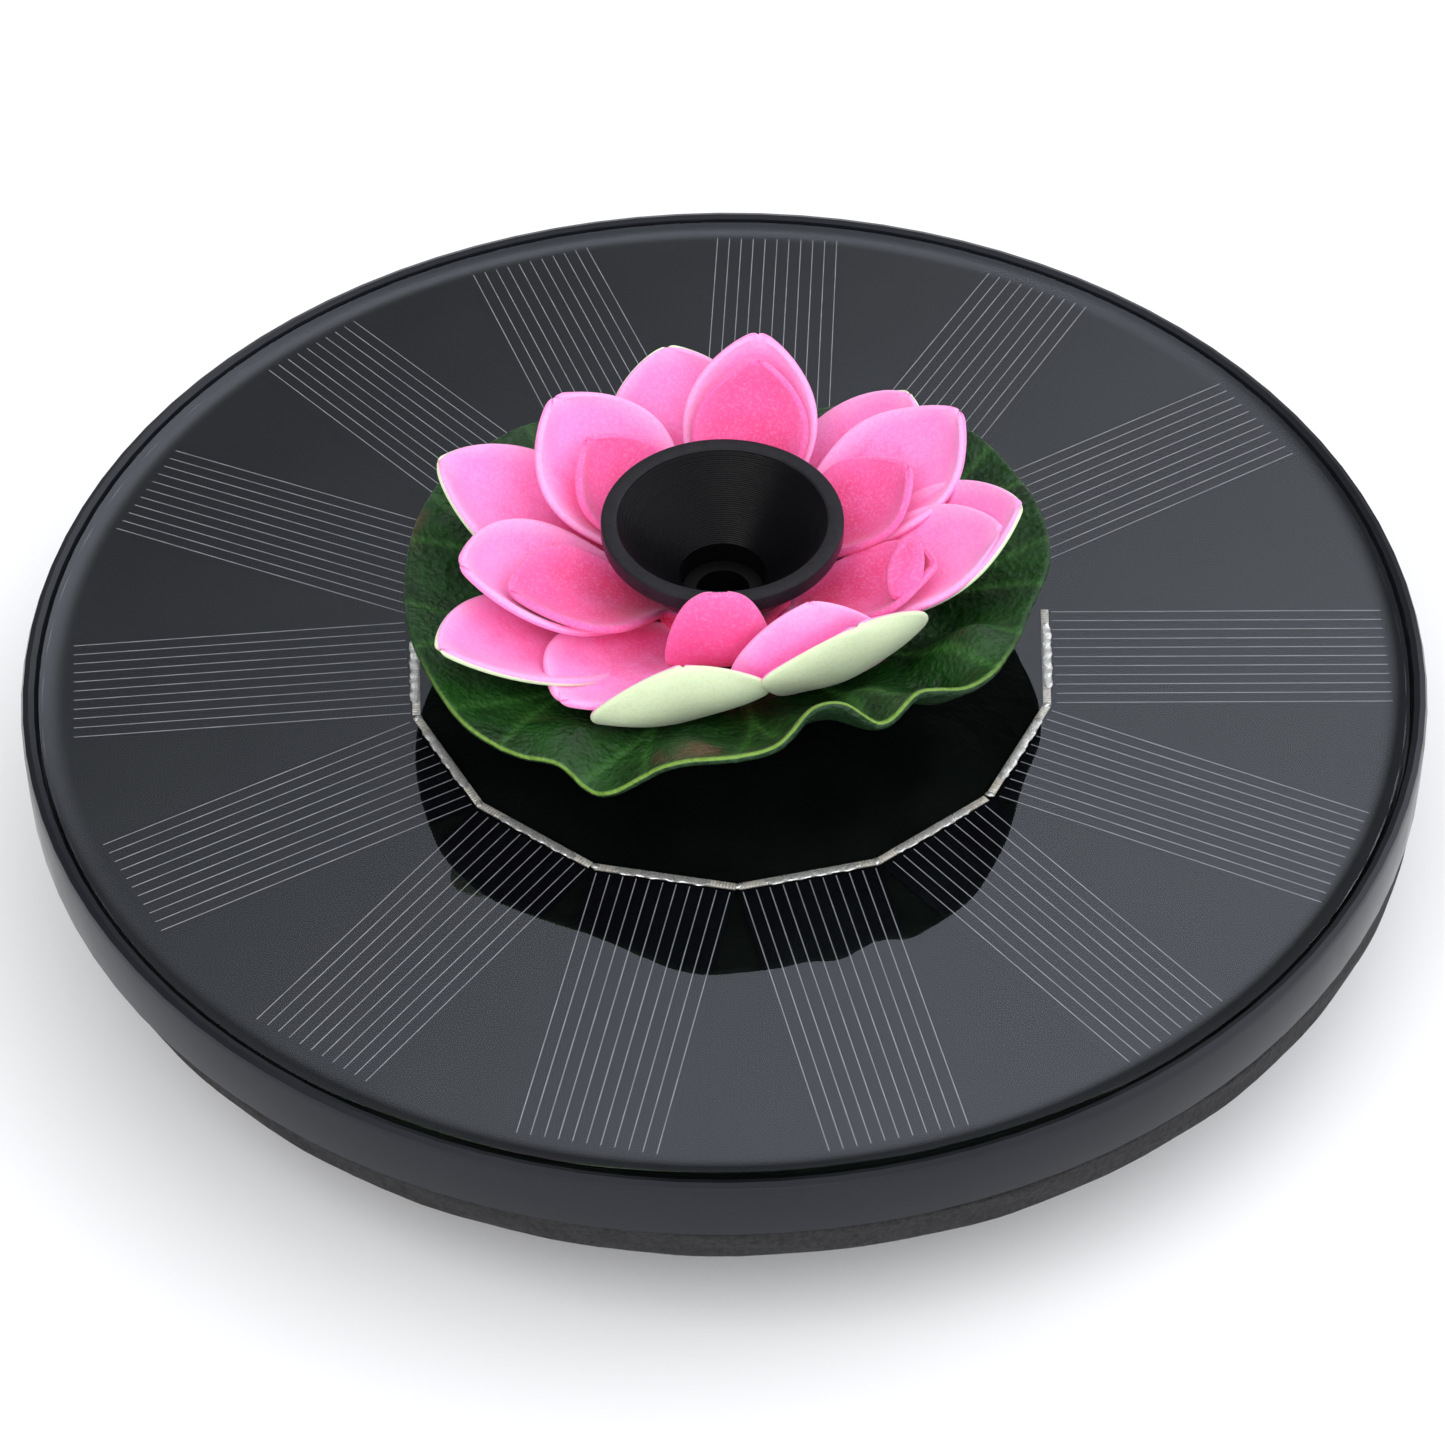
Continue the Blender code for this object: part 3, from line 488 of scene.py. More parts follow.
def make_epoxy():
    """The cast resin round the cells: flat, drawn up against the rim and the spout."""
    inner, outer = SPOUT_HOLE_RADIUS, COVER[1].x
    bottom, top = BOARD_TOP - 0.2 * MM, COVER[1].z
    climb = np.linspace(0, 1, 9)
    at_rim = [(outer - RIM_CREEP_WIDTH * (1 - c), top + RIM_CREEP * c**CREEP_POWER) for c in climb]
    at_spout = [(inner + SPOUT_CREEP_WIDTH * (1 - c), top + SPOUT_CREEP * c**CREEP_POWER) for c in climb]
    flat = [(r, top) for r in np.linspace(inner + SPOUT_CREEP_WIDTH, outer - RIM_CREEP_WIDTH, 24)[1:-1]]
    profile = [(outer, bottom), *at_rim[::-1], *flat[::-1], *at_spout, (inner, bottom)]
    add_piece("epoxy_resin", "float", [turned(profile, 192)], make_epoxy_finish(), sharp=50,
              stands_for=["epoxy_cover"])


def make_cells():
    silicon = make_silicon_finish()
    silver = mottled("finger_silver", (0.18, 0.185, 0.19), (0.26, 0.265, 0.27), 3 * MM, (0.4, 0.5),
                     0.3 * MM, 0.004 * MM, specular_ior_level=0.0)
    length = CELL_END - CELL_START
    low = (0, -CELL_WIDTH / 2, BOARD_TOP + 0.3 * MM)
    high = (length, CELL_WIDTH / 2, CELL_TOP)
    for index, (lay, count) in enumerate(CELL_LAY):
        bearing = FIRST_CELL - index * CELL_PITCH
        pivot = PANEL_CENTRE + CELL_START * np.array((cos(bearing), sin(bearing)))
        turn = bearing + radians(lay)
        parts = [bar(low, high, turn, pivot)]
        for finger in range(count):
            side = (finger - (count - 1) / 2) * FINGER_PITCH
            near = (0.2 * MM, side - FINGER_WIDTH / 2, CELL_TOP)
            far = (length - 0.3 * MM, side + FINGER_WIDTH / 2, CELL_TOP + FINGER_HEIGHT)
            parts.append((*bar(near, far, turn, pivot), 1))
        name = f"solar_cell_{index + 1:02d}"
        add_piece(f"{name}_fingers", "float", parts, [silicon, silver], sharp=30,
                  stands_for=[name])


def capped_tube(loops):
    """The points and faces of a closed tube through loops, which are (count, sides, 3)."""
    count, sides = loops.shape[:2]
    last = (count - 1) * sides
    faces = grid_faces(count, sides, wrap_columns=True)
    faces += [tuple(range(sides)), tuple(range(last, last + sides))]
    return loops.reshape(-1, 3), faces


def ladder_bar(near, far, reach, bottom, top, pitch, depth):
    """A strip across the cell's end, with grooves pressed across it."""
    count = int(2 * reach / pitch) * 4 + 1
    side = np.linspace(-reach, reach, count)
    groove = top - depth * (0.5 + 0.5 * np.cos(tau * side / pitch)) ** 2
    low = np.full(count, bottom)
    bevel, shoulder = 0.08 * MM, groove - 0.03 * MM
    loop = [(near, low), (near, shoulder), (near + bevel, groove),
            (far - bevel, groove), (far, shoulder), (far, low)]
    return capped_tube(np.stack([np.stack([np.full(count, x), side, z], 1) for x, z in loop], 1))


def soft_ribbon(near, far, start, end, bottom, top, phase):
    """A soldered ribbon, a little wavy in its edges and its height."""
    count, sides = 34, 10
    side = np.linspace(start, end, count)
    wave = 0.07 * MM * np.sin(side / MM * 2.1 + phase) + 0.04 * MM * np.sin(side / MM * 5.3 + 2 * phase)
    lift = 0.05 * MM * np.sin(side / MM * 3.4 + 1.7 * phase)
    taper = np.clip(np.minimum(side - start, end - side) / (0.5 * MM), 0.35, 1)
    middle, half = (near + far) / 2, (far - near) / 2
    rings = []
    for turn in tau * np.arange(sides) / sides:
        x = middle + wave + half * taper * np.sign(cos(turn)) * abs(cos(turn)) ** 0.5
        z = bottom + (top - bottom) * 0.5 * (1 + np.sign(sin(turn)) * abs(sin(turn)) ** 0.6)
        rings.append(np.stack([x, side, z + lift * (sin(turn) > 0)], 1))
    return capped_tube(np.stack(rings, 1))


def solder_blob(place, size, phase):
    """A bead of solder: a squashed, uneven drop."""
    rows, columns = 9, 14
    tilt = np.linspace(-pi / 2, pi / 2, rows)[:, None]
    turns = tau * np.arange(columns) / columns
    bulge = 1 + 0.18 * np.sin(2 * turns + phase) + 0.1 * np.sin(5 * turns + 2 * phase)
    x = np.cos(tilt) * np.cos(turns) * bulge * size[0]
    y = np.cos(tilt) * np.sin(turns) * bulge * size[1]
    z = np.sin(tilt) * np.ones(columns) * size[2]
    points = np.stack([x, y, z], 2).reshape(-1, 3) + place
    return points, grid_faces(rows, columns, wrap_columns=True)


def make_ribbons():
    base = make_solder_finish("busbar_tin", (0.34, 0.31, 0.26), (0.66, 0.63, 0.56), 0.55, 0.32)
    bright = make_solder_finish("ribbon_tin", (0.55, 0.54, 0.5), (0.93, 0.92, 0.88), 0.85, 0.2)
    top = COVER[0].z - 0.02 * MM
    reach = CELL_WIDTH / 2 - 0.15 * MM
    near, far = CELL_START - RIBBON_GAP - RIBBON_WIDTH, CELL_START - RIBBON_GAP
    for index in range(CELL_COUNT):
        bearing = FIRST_CELL - index * CELL_PITCH + radians(0.4 * sin(2.3 * index))
        phase = 1.3 * index
        strip = ladder_bar(near, far, reach, CELL_TOP - 0.3 * MM, CELL_TOP + BUSBAR_HEIGHT,
                           pitch=0.42 * MM, depth=0.09 * MM)
        start = -reach + (0.2 + 5.5 * (0.5 + 0.5 * sin(3.1 * index))) * MM
        ribbon = soft_ribbon(near + 0.12 * MM, far + 0.25 * MM, start, start + 12 * MM,
                             CELL_TOP + 0.06 * MM, top, phase)
        bead = solder_blob(np.array((near + 0.45 * MM, -reach, CELL_TOP + 0.02 * MM)),
                           np.array((0.55, 0.5, 0.22)) * MM, phase)
        parts = []
        for slot, (points, faces) in zip((0, 1, 1), (strip, ribbon, bead)):
            parts.append((turned_about(points, bearing, PANEL_CENTRE), faces, {}, slot))
        name = f"ribbon_{index + 1:02d}"
        add_piece(f"{name}_soldered", "float", parts, [base, bright], sharp=40,
                  stands_for=[name])


# Foam ring


def make_foam_ring():
    middle = (FOAM[0] + FOAM[1]) / 2
    outer = (FOAM[1].x - FOAM[0].x) / 2
    inner = outer - FOAM_WIDTH
    bottom, top = FOAM[0].z, FOAM[1].z
    corner = FOAM_CORNER
    wall = np.linspace(bottom + corner, top - corner, 7)[1:-1]
    floor = np.linspace(inner + corner, outer - corner, 20)[1:-1]
    profile = [
        *arc((outer - corner, bottom + corner), corner, -90, 0), *((outer, z) for z in wall),
        *arc((outer - corner, top - corner), corner, 0, 90), *((r, top) for r in floor[::-1]),
        *arc((inner + corner, top - corner), corner, 90, 180), *((inner, z) for z in wall[::-1]),
        *arc((inner + corner, bottom + corner), corner, 180, 270), *((r, bottom) for r in floor),
    ]

    def uneven(radius, height, turns):
        phase = height / MM * 1.7
        radius = radius - 0.12 * MM * (1 + np.sin(23 * turns + phase) * np.sin(9 * turns))
        pits = random.normal(0, 0.035 * MM, radius.shape)
        return radius - np.abs(pits), height + 0.04 * MM * np.sin(17 * turns + radius / MM)

    points, faces, layers = turned(profile, 300, uneven)
    ring = add_piece("foam_ring", "float", [(points + (middle.x, middle.y, 0), faces, layers)],
                     make_foam_finish(), stands_for=["foam_float_ring"])


# Nozzle cup


def make_nozzle_cup():
    """The black cone, with the fine rings of its mould inside."""
    top, bottom = CUP[1].z, CUP[0].z
    outer, foot = CUP[1].x, top - CUP_DEPTH
    cone, throat = outer - CUP_LIP, CUP_THROAT_RADIUS
    soft, chamfer = CUP_ROUNDING, 0.3 * MM
    socket, hub = CUP_SOCKET_RADIUS, CUP_HUB_RADIUS
    inside = []
    for d in np.linspace(0, 1, 200)[1:-1]:
        ring = MOULD_RING_DEPTH * sin(tau * d * MOULD_RINGS) * (1 - 0.5 * d)
        inside.append((cone + (throat - cone) * d + ring, top - soft + (foot - top + soft) * d))
    outside = [
        (hub + 0.7 * MM, foot - 0.9 * MM), (9 * MM, foot + 0.4 * MM), (12.2 * MM, foot + 3.6 * MM),
        (14.4 * MM, foot + 6.2 * MM), (outer - 0.1 * MM, top - 2.3 * MM), (outer, top - 2 * MM),
    ]
    profile = [
        *arc((outer - soft, top - soft), soft, 0, 90, 6), *arc((cone + soft, top - soft), soft, 90, 180, 5),
        *inside, (throat, foot), (throat, foot - 0.6 * MM), (socket, foot - 1 * MM),
        (socket, bottom + chamfer), (socket + chamfer, bottom), (hub - chamfer, bottom),
        (hub, bottom + chamfer), (hub, foot - 1.4 * MM), *outside,
    ]
    points, faces, _ = turned(profile, 160)
    lip = np.hypot(points[:, 0], points[:, 1]) > cone
    add_piece("nozzle_cone", "nozzle", [(points, faces, {"lip": lip})], make_nozzle_finish(), sharp=35,
              stands_for=["nozzle_cup"])


# Lotus

# Edge of the leaf: bearing, reach and height above the cells, in millimetres
LEAF_EDGE = (
    (1, 40.7, 16), (21, 41.2, 16.2), (41, 41, 15.6), (58, 38, 13.2), (78, 35.5, 12), (100, 35.5, 12),
    (117, 37, 13.5), (129, 38.6, 15.2), (156, 40.5, 16), (182, 41, 16), (200, 41.6, 16),
    (212, 42.2, 15.6), (222, 42.3, 15), (231, 41.2, 15), (238, 40, 15.4), (247, 41, 13.6),
    (257.5, 39, 18), (270, 38, 19.5), (279, 37, 21), (287.5, 34.5, 23.8), (293, 35.3, 23.8),
    (299.5, 37.4, 20.3), (308, 37.6, 22), (318, 39.6, 20), (333, 39.3, 18), (347, 38.8, 17),
)
# Swellings of the leaf: bearing, reach, spread and height, in millimetres
LEAF_BULGES = (
    (333, 33.5, 4.6, 4.6), (346, 28, 5, -2.2), (320, 33, 4, -1.6), (305, 29, 4, 2.2),
    (262, 33, 4, 1.6), (236, 34, 5, 1.8), (62, 33, 6, 1.2),
)
VEIN_COUNT = 13
VEIN_WIDTH, VEIN_DEPTH = 0.55 * MM, 0.22 * MM
# Where along its way to the edge a vein starts to sway, and by how many degrees
VEIN_STRAIGHT, VEIN_SWAY = 0.55, 6


def leaf_veins(bearings, radius, out):
    """How deep in a vein each point of the leaf lies, from 0 to 1."""
    away = np.abs((bearings / 360 * VEIN_COUNT + 0.5) % 1 - 0.5) * 360 / VEIN_COUNT
    sway = np.abs(away - VEIN_SWAY * np.clip(out - VEIN_STRAIGHT, 0, 1) / (1 - VEIN_STRAIGHT))
    turn = np.where(out < VEIN_STRAIGHT, away, sway)
    return np.exp(-((np.radians(turn) * radius / VEIN_WIDTH) ** 2)) * (1 - 0.5 * out)


def make_leaf():
    rows, columns = 46, 400
    bearings = 360 * np.arange(columns) / columns
    turns = np.radians(bearings)
    reach, height = round_curve(LEAF_EDGE, bearings).T * MM
    out = np.sin(pi / 2 * np.linspace(0, 1, rows))[:, None] ** 0.9
    radius = HUB_RADIUS + (reach - HUB_RADIUS) * out
    dish = 15.5 * MM
    hub_z = LEAF[0].z + LEAF_THICKNESS / 2 - CELL_TOP
    z = hub_z + (dish - hub_z) * out**1.35 + (height - dish) * out**4.5
    waves = 0.5 * out**2 * np.sin(7 * turns + 1) + 0.16 * out * np.sin(19 * turns + radius / MM * 0.35)
    z = z + waves * MM
    for bearing, reach_to, spread, lift in LEAF_BULGES:
        across = np.radians((bearings - bearing + 180) % 360 - 180) * radius
        far = (across**2 + (radius - reach_to * MM) ** 2) / (spread * MM) ** 2
        z = z + lift * MM * np.exp(-far)
    vein = leaf_veins(bearings, radius, out)
    z = z - VEIN_DEPTH * vein
    rim = np.minimum(1 - out, out) * (reach - HUB_RADIUS)
    surface = np.stack([radius * np.cos(turns), radius * np.sin(turns), z + CELL_TOP], 2)
    shift = FLOWER_CENTRE * np.clip((out[..., None] - 0.1) / 0.4, 0, 1)
    shell = sheet_shell(surface + shift, LEAF_THICKNESS, rim, wrap=True, layers={"vein": vein})
    leaf = add_piece("lotus_leaf_pressed", "flower", [shell], make_leaf_finish(),
                     stands_for=["lotus_leaf"])


def petal(root, tip, reach, height, width, rise, cup, root_z, root_reach=8.0, pull=1.0, widest=0.58,
          blunt=0.62, roll=0):
    """The grid of points on one petal, and each one's distance from its border and share of
    the way along it.

    root and tip are bearings, root_reach and root_z place the root, and reach and height the
    tip. rise is how steeply the midrib leaves the root and meets the tip, in degrees, and a
    greater pull bows it more. widest is where along it the petal is widest, and a smaller
    blunt fills out its ends. cup is how far the cross-section bends, and roll how far the tip
    is twisted, in degrees.
    """
    start = np.array((root_reach * cos(radians(root)), root_reach * sin(radians(root)), root_z)) * MM
    end = np.array((reach * cos(radians(tip)), reach * sin(radians(tip)), height)) * MM
    chord = end - start
    length = np.linalg.norm(chord) * pull
    forward = unit(np.array((chord[0], chord[1], 0)))
    up = np.array((0, 0, 1.0))
    left = np.cross(up, forward)
    leave, meet = (length * (cos(radians(a)) * forward + sin(radians(a)) * up) for a in rise)
    # The last row stays a hair short of the tip, so that it isn't a single point
    t = np.sin(pi / 2 * np.linspace(0, 1, PETAL_ROWS))[:, None] * 0.9995
    midrib = (
        (2 * t**3 - 3 * t**2 + 1) * start + (t**3 - 2 * t**2 + t) * leave
        + (3 * t**2 - 2 * t**3) * end + (t**3 - t**2) * meet
    )
    slope = unit(
        (6 * t**2 - 6 * t) * (start - end) + (3 * t**2 - 4 * t + 1) * leave + (3 * t**2 - 2 * t) * meet
    )
    side = unit(left - (slope @ left)[:, None] * slope)
    normal = np.cross(slope, side)
    power = log(0.5) / log(widest)
    neck = 0.45 * (1 - t / 0.3)
    half = width * MM / 2 * np.maximum(np.sin(pi * t**power) ** blunt, neck)
    twist = radians(roll) * t
    c, s = np.cos(twist), np.sin(twist)
    side, normal = c * side + s * normal, c * normal - s * side
    bend = radians(cup) / 2
    across = np.sin(pi / 2 * np.linspace(-1, 1, PETAL_COLUMNS))[None, :]
    angle, radius = across * bend, half / bend
    grid = (
        midrib[:, None] + (radius * np.sin(angle))[..., None] * side[:, None]
        + (radius * (1 - np.cos(angle)))[..., None] * normal[:, None]
    )
    phase = random.uniform(0, tau, 3)
    ripple = 0.16 * np.sin(7 * t + 2.2 * across + phase[0]) + 0.1 * np.sin(5 * across + 13 * t + phase[1])
    grid = grid + (ripple * MM * (1 - 0.3 * t))[..., None] * normal[:, None]
    run = np.linalg.norm(np.diff(midrib, axis=0), axis=1).sum()
    rim = np.minimum((1 - np.abs(across)) * half, np.minimum((1 - t) * run, t * run + 0.02 * MM))
    return grid + FLOWER_CENTRE, np.maximum(rim, 0), np.repeat(t, PETAL_COLUMNS, 1)


# Each layer's petals, anticlockwise from the right. The last inner one is a tip folded back.
PETALS = {
    "outer": (
        dict(root=358, tip=2, reach=36.8, height=25, width=22, rise=(10, 50), cup=60),
        dict(root=57, tip=47, reach=34.5, height=23, width=19.5, rise=(8, 52), cup=26),
        dict(root=103, tip=103, reach=34, height=24.5, width=22, rise=(12, 45), cup=60),
        dict(root=160, tip=162, reach=38.5, height=24, width=21, rise=(10, 40), cup=60),
        dict(root=208, tip=210, reach=41, height=22, width=20, rise=(8, 35), cup=55),
        dict(root=222, root_reach=13, tip=258, reach=27.3, height=24.6, width=23, rise=(-4, 108), cup=38,
             widest=0.7, pull=1.5),
        dict(root=302, root_reach=11, tip=307.5, reach=25.6, height=24.9, width=24.6, rise=(-2, 102), cup=44,
             widest=0.72, pull=1.3, roll=-15),
    ),
    "middle": (
        dict(root=33, tip=33, reach=35.5, height=25, width=20, rise=(20, 60), cup=75),
        dict(root=81, tip=82, reach=30, height=29.5, width=18.5, rise=(20, 70), cup=75),
        dict(root=136, tip=137, reach=30, height=27, width=22, rise=(20, 65), cup=65),
        dict(root=188, tip=192, reach=34, height=23.8, width=22.5, rise=(15, 50), cup=65),
        dict(root=234, tip=230, reach=32.5, height=17.5, width=18.5, rise=(14, 26), cup=50),
        dict(root=311, root_reach=11.5, tip=299.5, reach=20.2, height=26.4, width=21.5, rise=(-5, 112),
             cup=35, widest=0.66, pull=2.0),
        dict(root=345, tip=357.5, reach=34.5, height=23.4, width=19, rise=(12, 45), cup=60),
    ),
    "inner": (
        dict(root=30, tip=27, reach=25.8, height=22.6, width=15.5, rise=(25, 60), cup=70),
        dict(root=81, tip=81, reach=26, height=28.5, width=16, rise=(25, 75), cup=75),
        dict(root=136, tip=139, reach=23.5, height=24.5, width=16, rise=(25, 70), cup=70),
        dict(root=205, tip=201.5, reach=29, height=22.3, width=17.5, rise=(24, 40), cup=72),
        dict(root=256, tip=265, reach=15.8, height=26.5, width=13.5, rise=(0, 112), cup=25, pull=1.9,
             blunt=0.3),
        dict(root=335, tip=346.5, reach=26.4, height=22.2, width=15, rise=(15, 60), cup=60),
        dict(root=352, root_reach=23.4, root_z=23.7, tip=334, reach=23.6, height=20, width=4.6,
             rise=(12, -42), cup=-35, blunt=0.35),
    ),
}
# Height of each layer's roots above the cells, in millimetres
LAYER_ROOTS = {"outer": 9.6, "middle": 11.2, "inner": 12.8}
LAYER_COLOURS = {
    "outer": dict(tip=(0.96, 0.24, 0.6), root=(0.93, 0.08, 0.3), border=(0.97, 0.38, 0.7),
                  back=(0.69, 0.82, 0.52), back_root=(0.85, 0.55, 0.6)),
    "middle": dict(tip=(0.96, 0.26, 0.63), root=(0.92, 0.07, 0.3), border=(0.97, 0.4, 0.73),
                   back=(0.96, 0.28, 0.62), back_root=(0.93, 0.12, 0.4)),
    "inner": dict(tip=(0.95, 0.1, 0.36), root=(0.88, 0.035, 0.18), border=(0.96, 0.14, 0.43),
                  back=(0.96, 0.16, 0.45), back_root=(0.93, 0.08, 0.32)),
}


def petal_disc(top):
    """The flat ring that joins a layer's petals, coloured as deep inside a root."""
    bottom = top - PETAL_THICKNESS
    loop = [(HUB_RADIUS, bottom), (PETAL_DISC_RADIUS, bottom), (PETAL_DISC_RADIUS, top), (HUB_RADIUS, top)]
    points, faces, _ = turned(loop, 64)
    flat = np.zeros(len(points))
    return points, faces, {"rim": flat + 6, "along": flat, "outside": flat}


def make_petals():
    for layer, shapes in PETALS.items():
        root_z = LAYER_ROOTS[layer]
        parts = []
        for shape in shapes:
            grid, rim, along = petal(**{"root_z": root_z, **shape})
            parts.append(sheet_shell(grid + (0, 0, CELL_TOP), PETAL_THICKNESS, rim, layers={"along": along}))
        parts.append(petal_disc(CELL_TOP + root_z * MM + PETAL_THICKNESS / 2))
        finish = make_petal_finish(f"petal_{layer}_foam", **LAYER_COLOURS[layer])
        piece = add_piece(f"petals_{layer}", "flower", parts, finish,
                          stands_for=[f"petal_layer_{layer}"])


# CAD nodes that keep their shape

MERGE_DISTANCE = 0.002 * MM
SHARP_EDGE = radians(32)


def smoothing_nodes():
    """A modifier that joins the CAD triangles and shades their shallow edges smooth."""
    group = bpy.data.node_groups.new("smooth_shallow_edges", "GeometryNodeTree")
    group.interface.new_socket("Geometry", in_out="INPUT", socket_type="NodeSocketGeometry")
    group.interface.new_socket("Geometry", in_out="OUTPUT", socket_type="NodeSocketGeometry")
    nodes, links = group.nodes, group.links
    start, end = nodes.new("NodeGroupInput"), nodes.new("NodeGroupOutput")
    merge = nodes.new("GeometryNodeMergeByDistance")
    merge.inputs["Distance"].default_value = MERGE_DISTANCE
    drop = nodes.new("GeometryNodeRemoveAttribute")
    drop.inputs["Name"].default_value = "custom_normal"
    faces = nodes.new("GeometryNodeSetShadeSmooth")
    faces.inputs["Shade Smooth"].default_value = True
    edges = nodes.new("GeometryNodeSetShadeSmooth")
    edges.domain = "EDGE"
    edges.inputs["Shade Smooth"].default_value = False
    angle = nodes.new("GeometryNodeInputMeshEdgeAngle")
    steep = nodes.new("FunctionNodeCompare")
    steep.data_type, steep.operation = "FLOAT", "GREATER_THAN"
    steep.inputs[1].default_value = SHARP_EDGE
    chain = (start, merge, drop, faces, edges, end)
    for a, b in zip(chain, chain[1:]):
        links.new(a.outputs[0], b.inputs[0])
    links.new(angle.outputs["Unsigned Angle"], steep.inputs[0])
    links.new(steep.outputs[0], edges.inputs["Selection"])
    return group


def dress_cad_nodes():
    finishes = {
        make_tray_finish(): ["float_housing"],
        mottled("board_black_green", (0.0016, 0.0022, 0.002), (0.0034, 0.0042, 0.0038), 16 * MM,
                (0.35, 0.5), 1.2 * MM, 0.002 * MM, specular_ior_level=0.0): ["backing_board"],
        mottled("pump_black_moulded", (0.009, 0.009, 0.0095), (0.015, 0.015, 0.016), 6 * MM,
                (0.36, 0.5), 0.6 * MM, 0.02 * MM): ["motor_pot", "motor_end_cap", "pump_chamber",
                                                    "inlet_cover", "impeller", "strainer_cover"],
        # Painted shade: the riser is coloured darker than the pump's black plastic, so the hole under the
        # nozzle cup looks dark
        mottled("riser_painted_shade_black", (0.0015, 0.0015, 0.0015), (0.003, 0.003, 0.003), 4 * MM, (0.45, 0.6),
                0.5 * MM, 0.01 * MM, specular_ior_level=0.1): ["riser_pipe"],
        mottled("driver_green_mask", (0.012, 0.1, 0.035), (0.025, 0.16, 0.06), 3 * MM, (0.3, 0.45),
                0.5 * MM, 0.01 * MM): ["driver_board"],
        mottled("black_rubber_matt", (0.011, 0.011, 0.011), (0.02, 0.02, 0.02), 2 * MM, (0.7, 0.85),
                0.3 * MM, 0.03 * MM): ["outlet_seal", "cover_seal_ring", "panel_lead"],
        mottled("steel_brushed", (0.45, 0.45, 0.46), (0.62, 0.62, 0.63), 2 * MM, (0.25, 0.42),
                0.2 * MM, 0.01 * MM, metallic=1.0): ["stator_core", "rotor_shaft", "pump_strap",
                                                     "strap_screw_1", "strap_screw_2"],
        mottled("copper_enamelled", (0.62, 0.24, 0.09), (0.8, 0.38, 0.17), 1 * MM, (0.25, 0.4),
                0.3 * MM, 0.05 * MM, metallic=1.0): ["stator_coil_upper", "stator_coil_lower"],
        mottled("ferrite_dark", (0.04, 0.04, 0.042), (0.07, 0.07, 0.072), 1.5 * MM, (0.45, 0.6),
                0.2 * MM, 0.02 * MM): ["rotor_magnet"],
        mottled("ceramic_white", (0.78, 0.77, 0.73), (0.88, 0.87, 0.84), 1.5 * MM, (0.2, 0.3),
                0.2 * MM, 0.005 * MM): ["front_bush", "rear_bush"],
    }
    smoothing = smoothing_nodes()
    for material, names in finishes.items():
        for name in names:
            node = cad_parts[name]
            for slot in node.material_slots:
                slot.material = material
            node.modifiers.new("smooth", "NODES").node_group = smoothing


# Stage


def make_floor():
    mesh = bpy.data.meshes.new("floor")
    half = 4.0
    corners = [(-half, -half, 0), (half, -half, 0), (half, half, 0), (-half, half, 0)]
    mesh.from_pydata(corners, [], [(0, 1, 2, 3)])
    mesh.materials.append(make_floor_finish())
    floor = bpy.data.objects.new("floor", mesh)
    bpy.context.scene.collection.objects.link(floor)


def add_area_light(name, place, target, size, power, colour=(1, 1, 1)):
    data = bpy.data.lights.new(name, "AREA")
    data.shape, data.size, data.energy, data.color = "DISK", size, power, colour
    light = bpy.data.objects.new(name, data)
    light.location = place
    light.rotation_euler = (Vector(target) - Vector(place)).to_track_quat("-Z", "Y").to_euler()
    bpy.context.scene.collection.objects.link(light)


def smooth_range(nodes, low_high, to_low_high):
    node = nodes.new("ShaderNodeMapRange")
    node.interpolation_type = "SMOOTHSTEP"
    for socket, value in zip(("From Min", "From Max", "To Min", "To Max"), (*low_high, *to_low_high)):
        node.inputs[socket].default_value = value
    return node


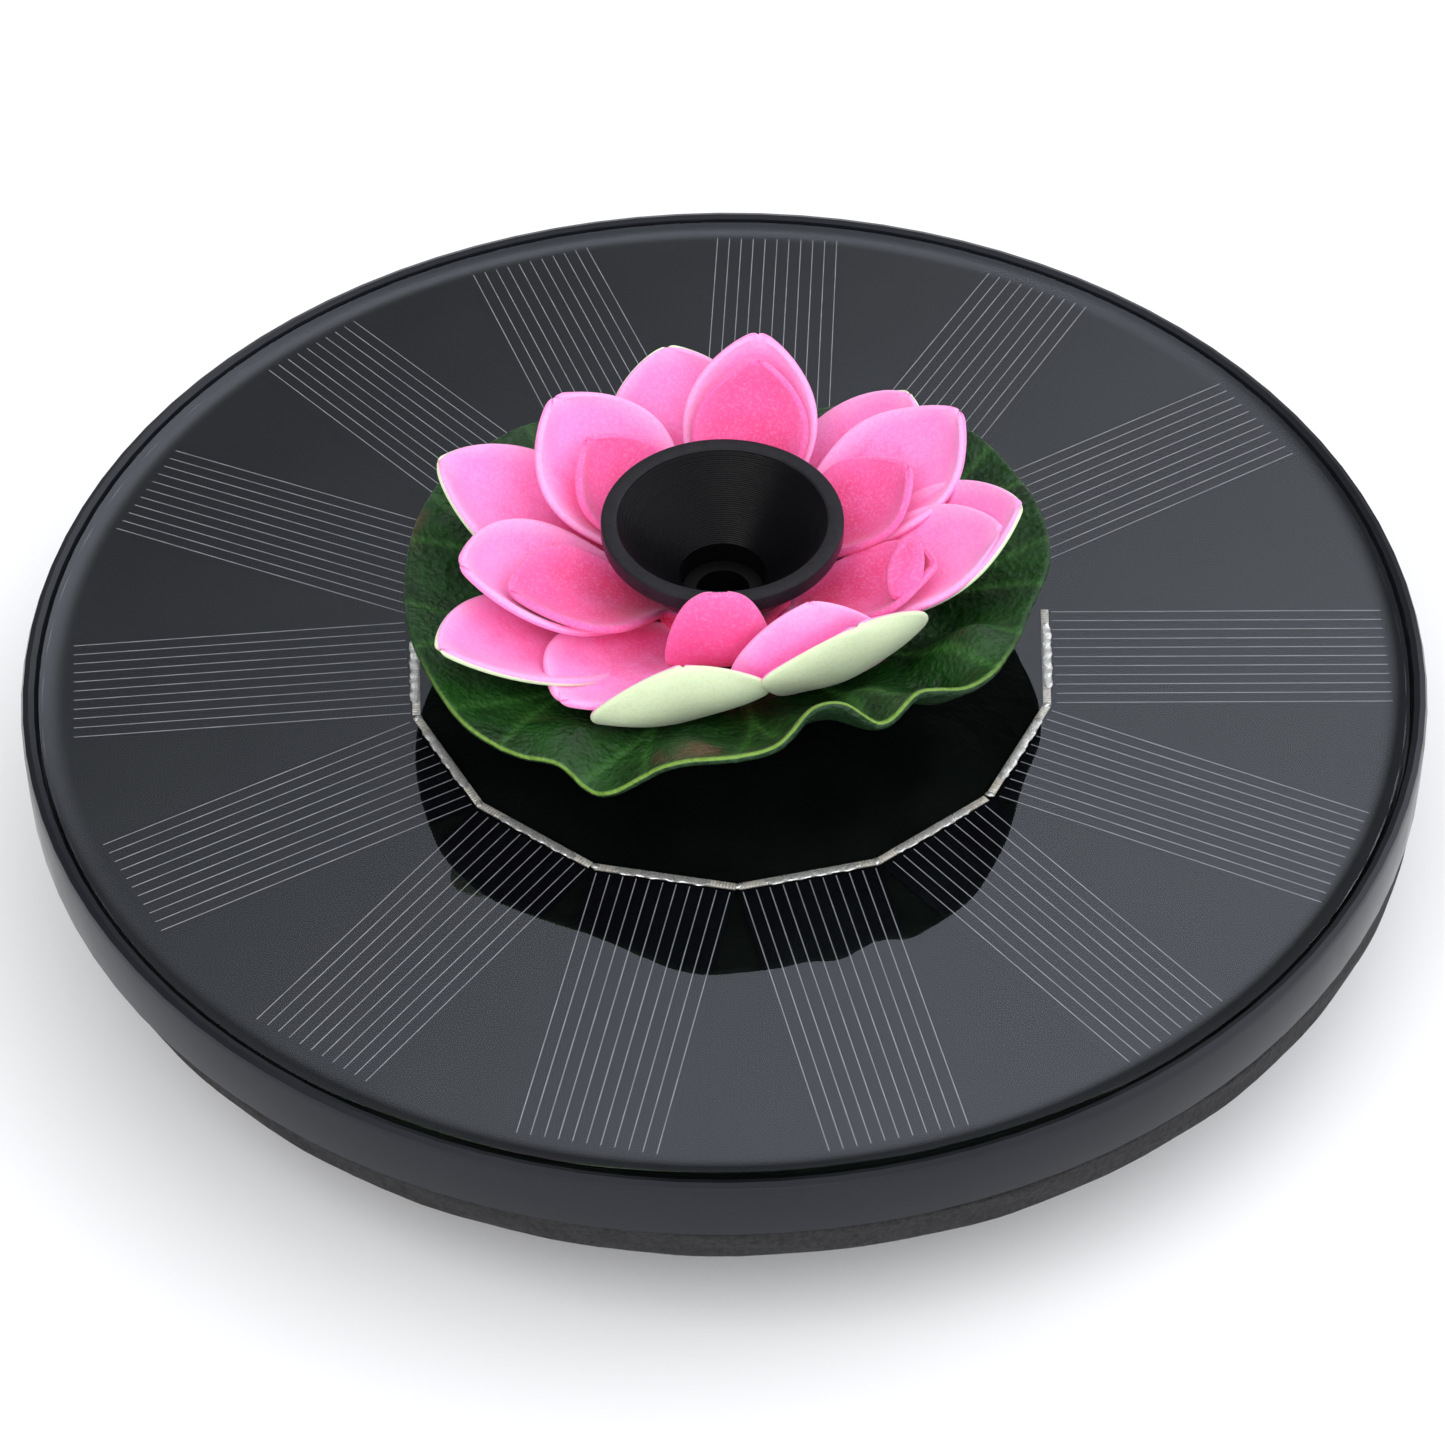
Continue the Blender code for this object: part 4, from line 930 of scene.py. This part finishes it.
def light_studio():
    world = bpy.data.worlds.new("studio")
    bpy.context.scene.world = world
    world.use_nodes = True
    nodes, links = world.node_tree.nodes, world.node_tree.links
    direction = nodes.new("ShaderNodeTexCoord").outputs["Generated"]
    toward = nodes.new("ShaderNodeVectorMath")
    toward.operation = "DOT_PRODUCT"
    toward.inputs[1].default_value = SKY_DIRECTION
    spread = smooth_range(nodes, SKY_FADE, SKY_STRENGTH)
    height = nodes.new("ShaderNodeSeparateXYZ")
    overhead = smooth_range(nodes, OVERHEAD_FADE, OVERHEAD_SHARE)
    strength = nodes.new("ShaderNodeMath")
    strength.operation = "MULTIPLY"
    background = nodes["Background"]
    background.inputs["Color"].default_value = SKY_COLOUR
    links.new(direction, toward.inputs[0])
    links.new(toward.outputs["Value"], spread.inputs["Value"])
    links.new(direction, height.inputs[0])
    links.new(height.outputs["Z"], overhead.inputs["Value"])
    links.new(spread.outputs["Result"], strength.inputs[0])
    links.new(overhead.outputs["Result"], strength.inputs[1])
    links.new(strength.outputs[0], background.inputs["Strength"])
    add_area_light("key_light", (-0.5, -0.7, 1.0), (0, 0, 0.03), 1.1, 7.5)
    add_area_light("front_fill", (0.1, -1.3, 0.32), (0, 0, 0.02), 0.8, 4.5)


def make_camera():
    back = Vector((0, -cos(CAMERA_ELEVATION), sin(CAMERA_ELEVATION)))
    up = Vector((0, sin(CAMERA_ELEVATION), cos(CAMERA_ELEVATION)))
    right = Vector((1, 0, 0))
    across = cos(CAMERA_ROLL) * right + sin(CAMERA_ROLL) * up
    upright = cos(CAMERA_ROLL) * up - sin(CAMERA_ROLL) * right
    data = bpy.data.cameras.new("camera")
    data.lens, data.sensor_width = LENS, 36
    data.clip_start, data.clip_end = 0.01, 20
    camera = bpy.data.objects.new("camera", data)
    turn = Matrix((across, upright, back)).transposed().to_4x4()
    camera.matrix_world = Matrix.Translation(Vector(CAMERA_TARGET) + CAMERA_DISTANCE * back) @ turn
    bpy.context.scene.collection.objects.link(camera)
    bpy.context.scene.camera = camera


make_epoxy()
make_cells()
make_ribbons()
make_foam_ring()
make_nozzle_cup()
make_leaf()
make_petals()
dress_cad_nodes()
make_floor()
light_studio()
make_camera()
bpy.context.scene.view_settings.view_transform = "Standard"
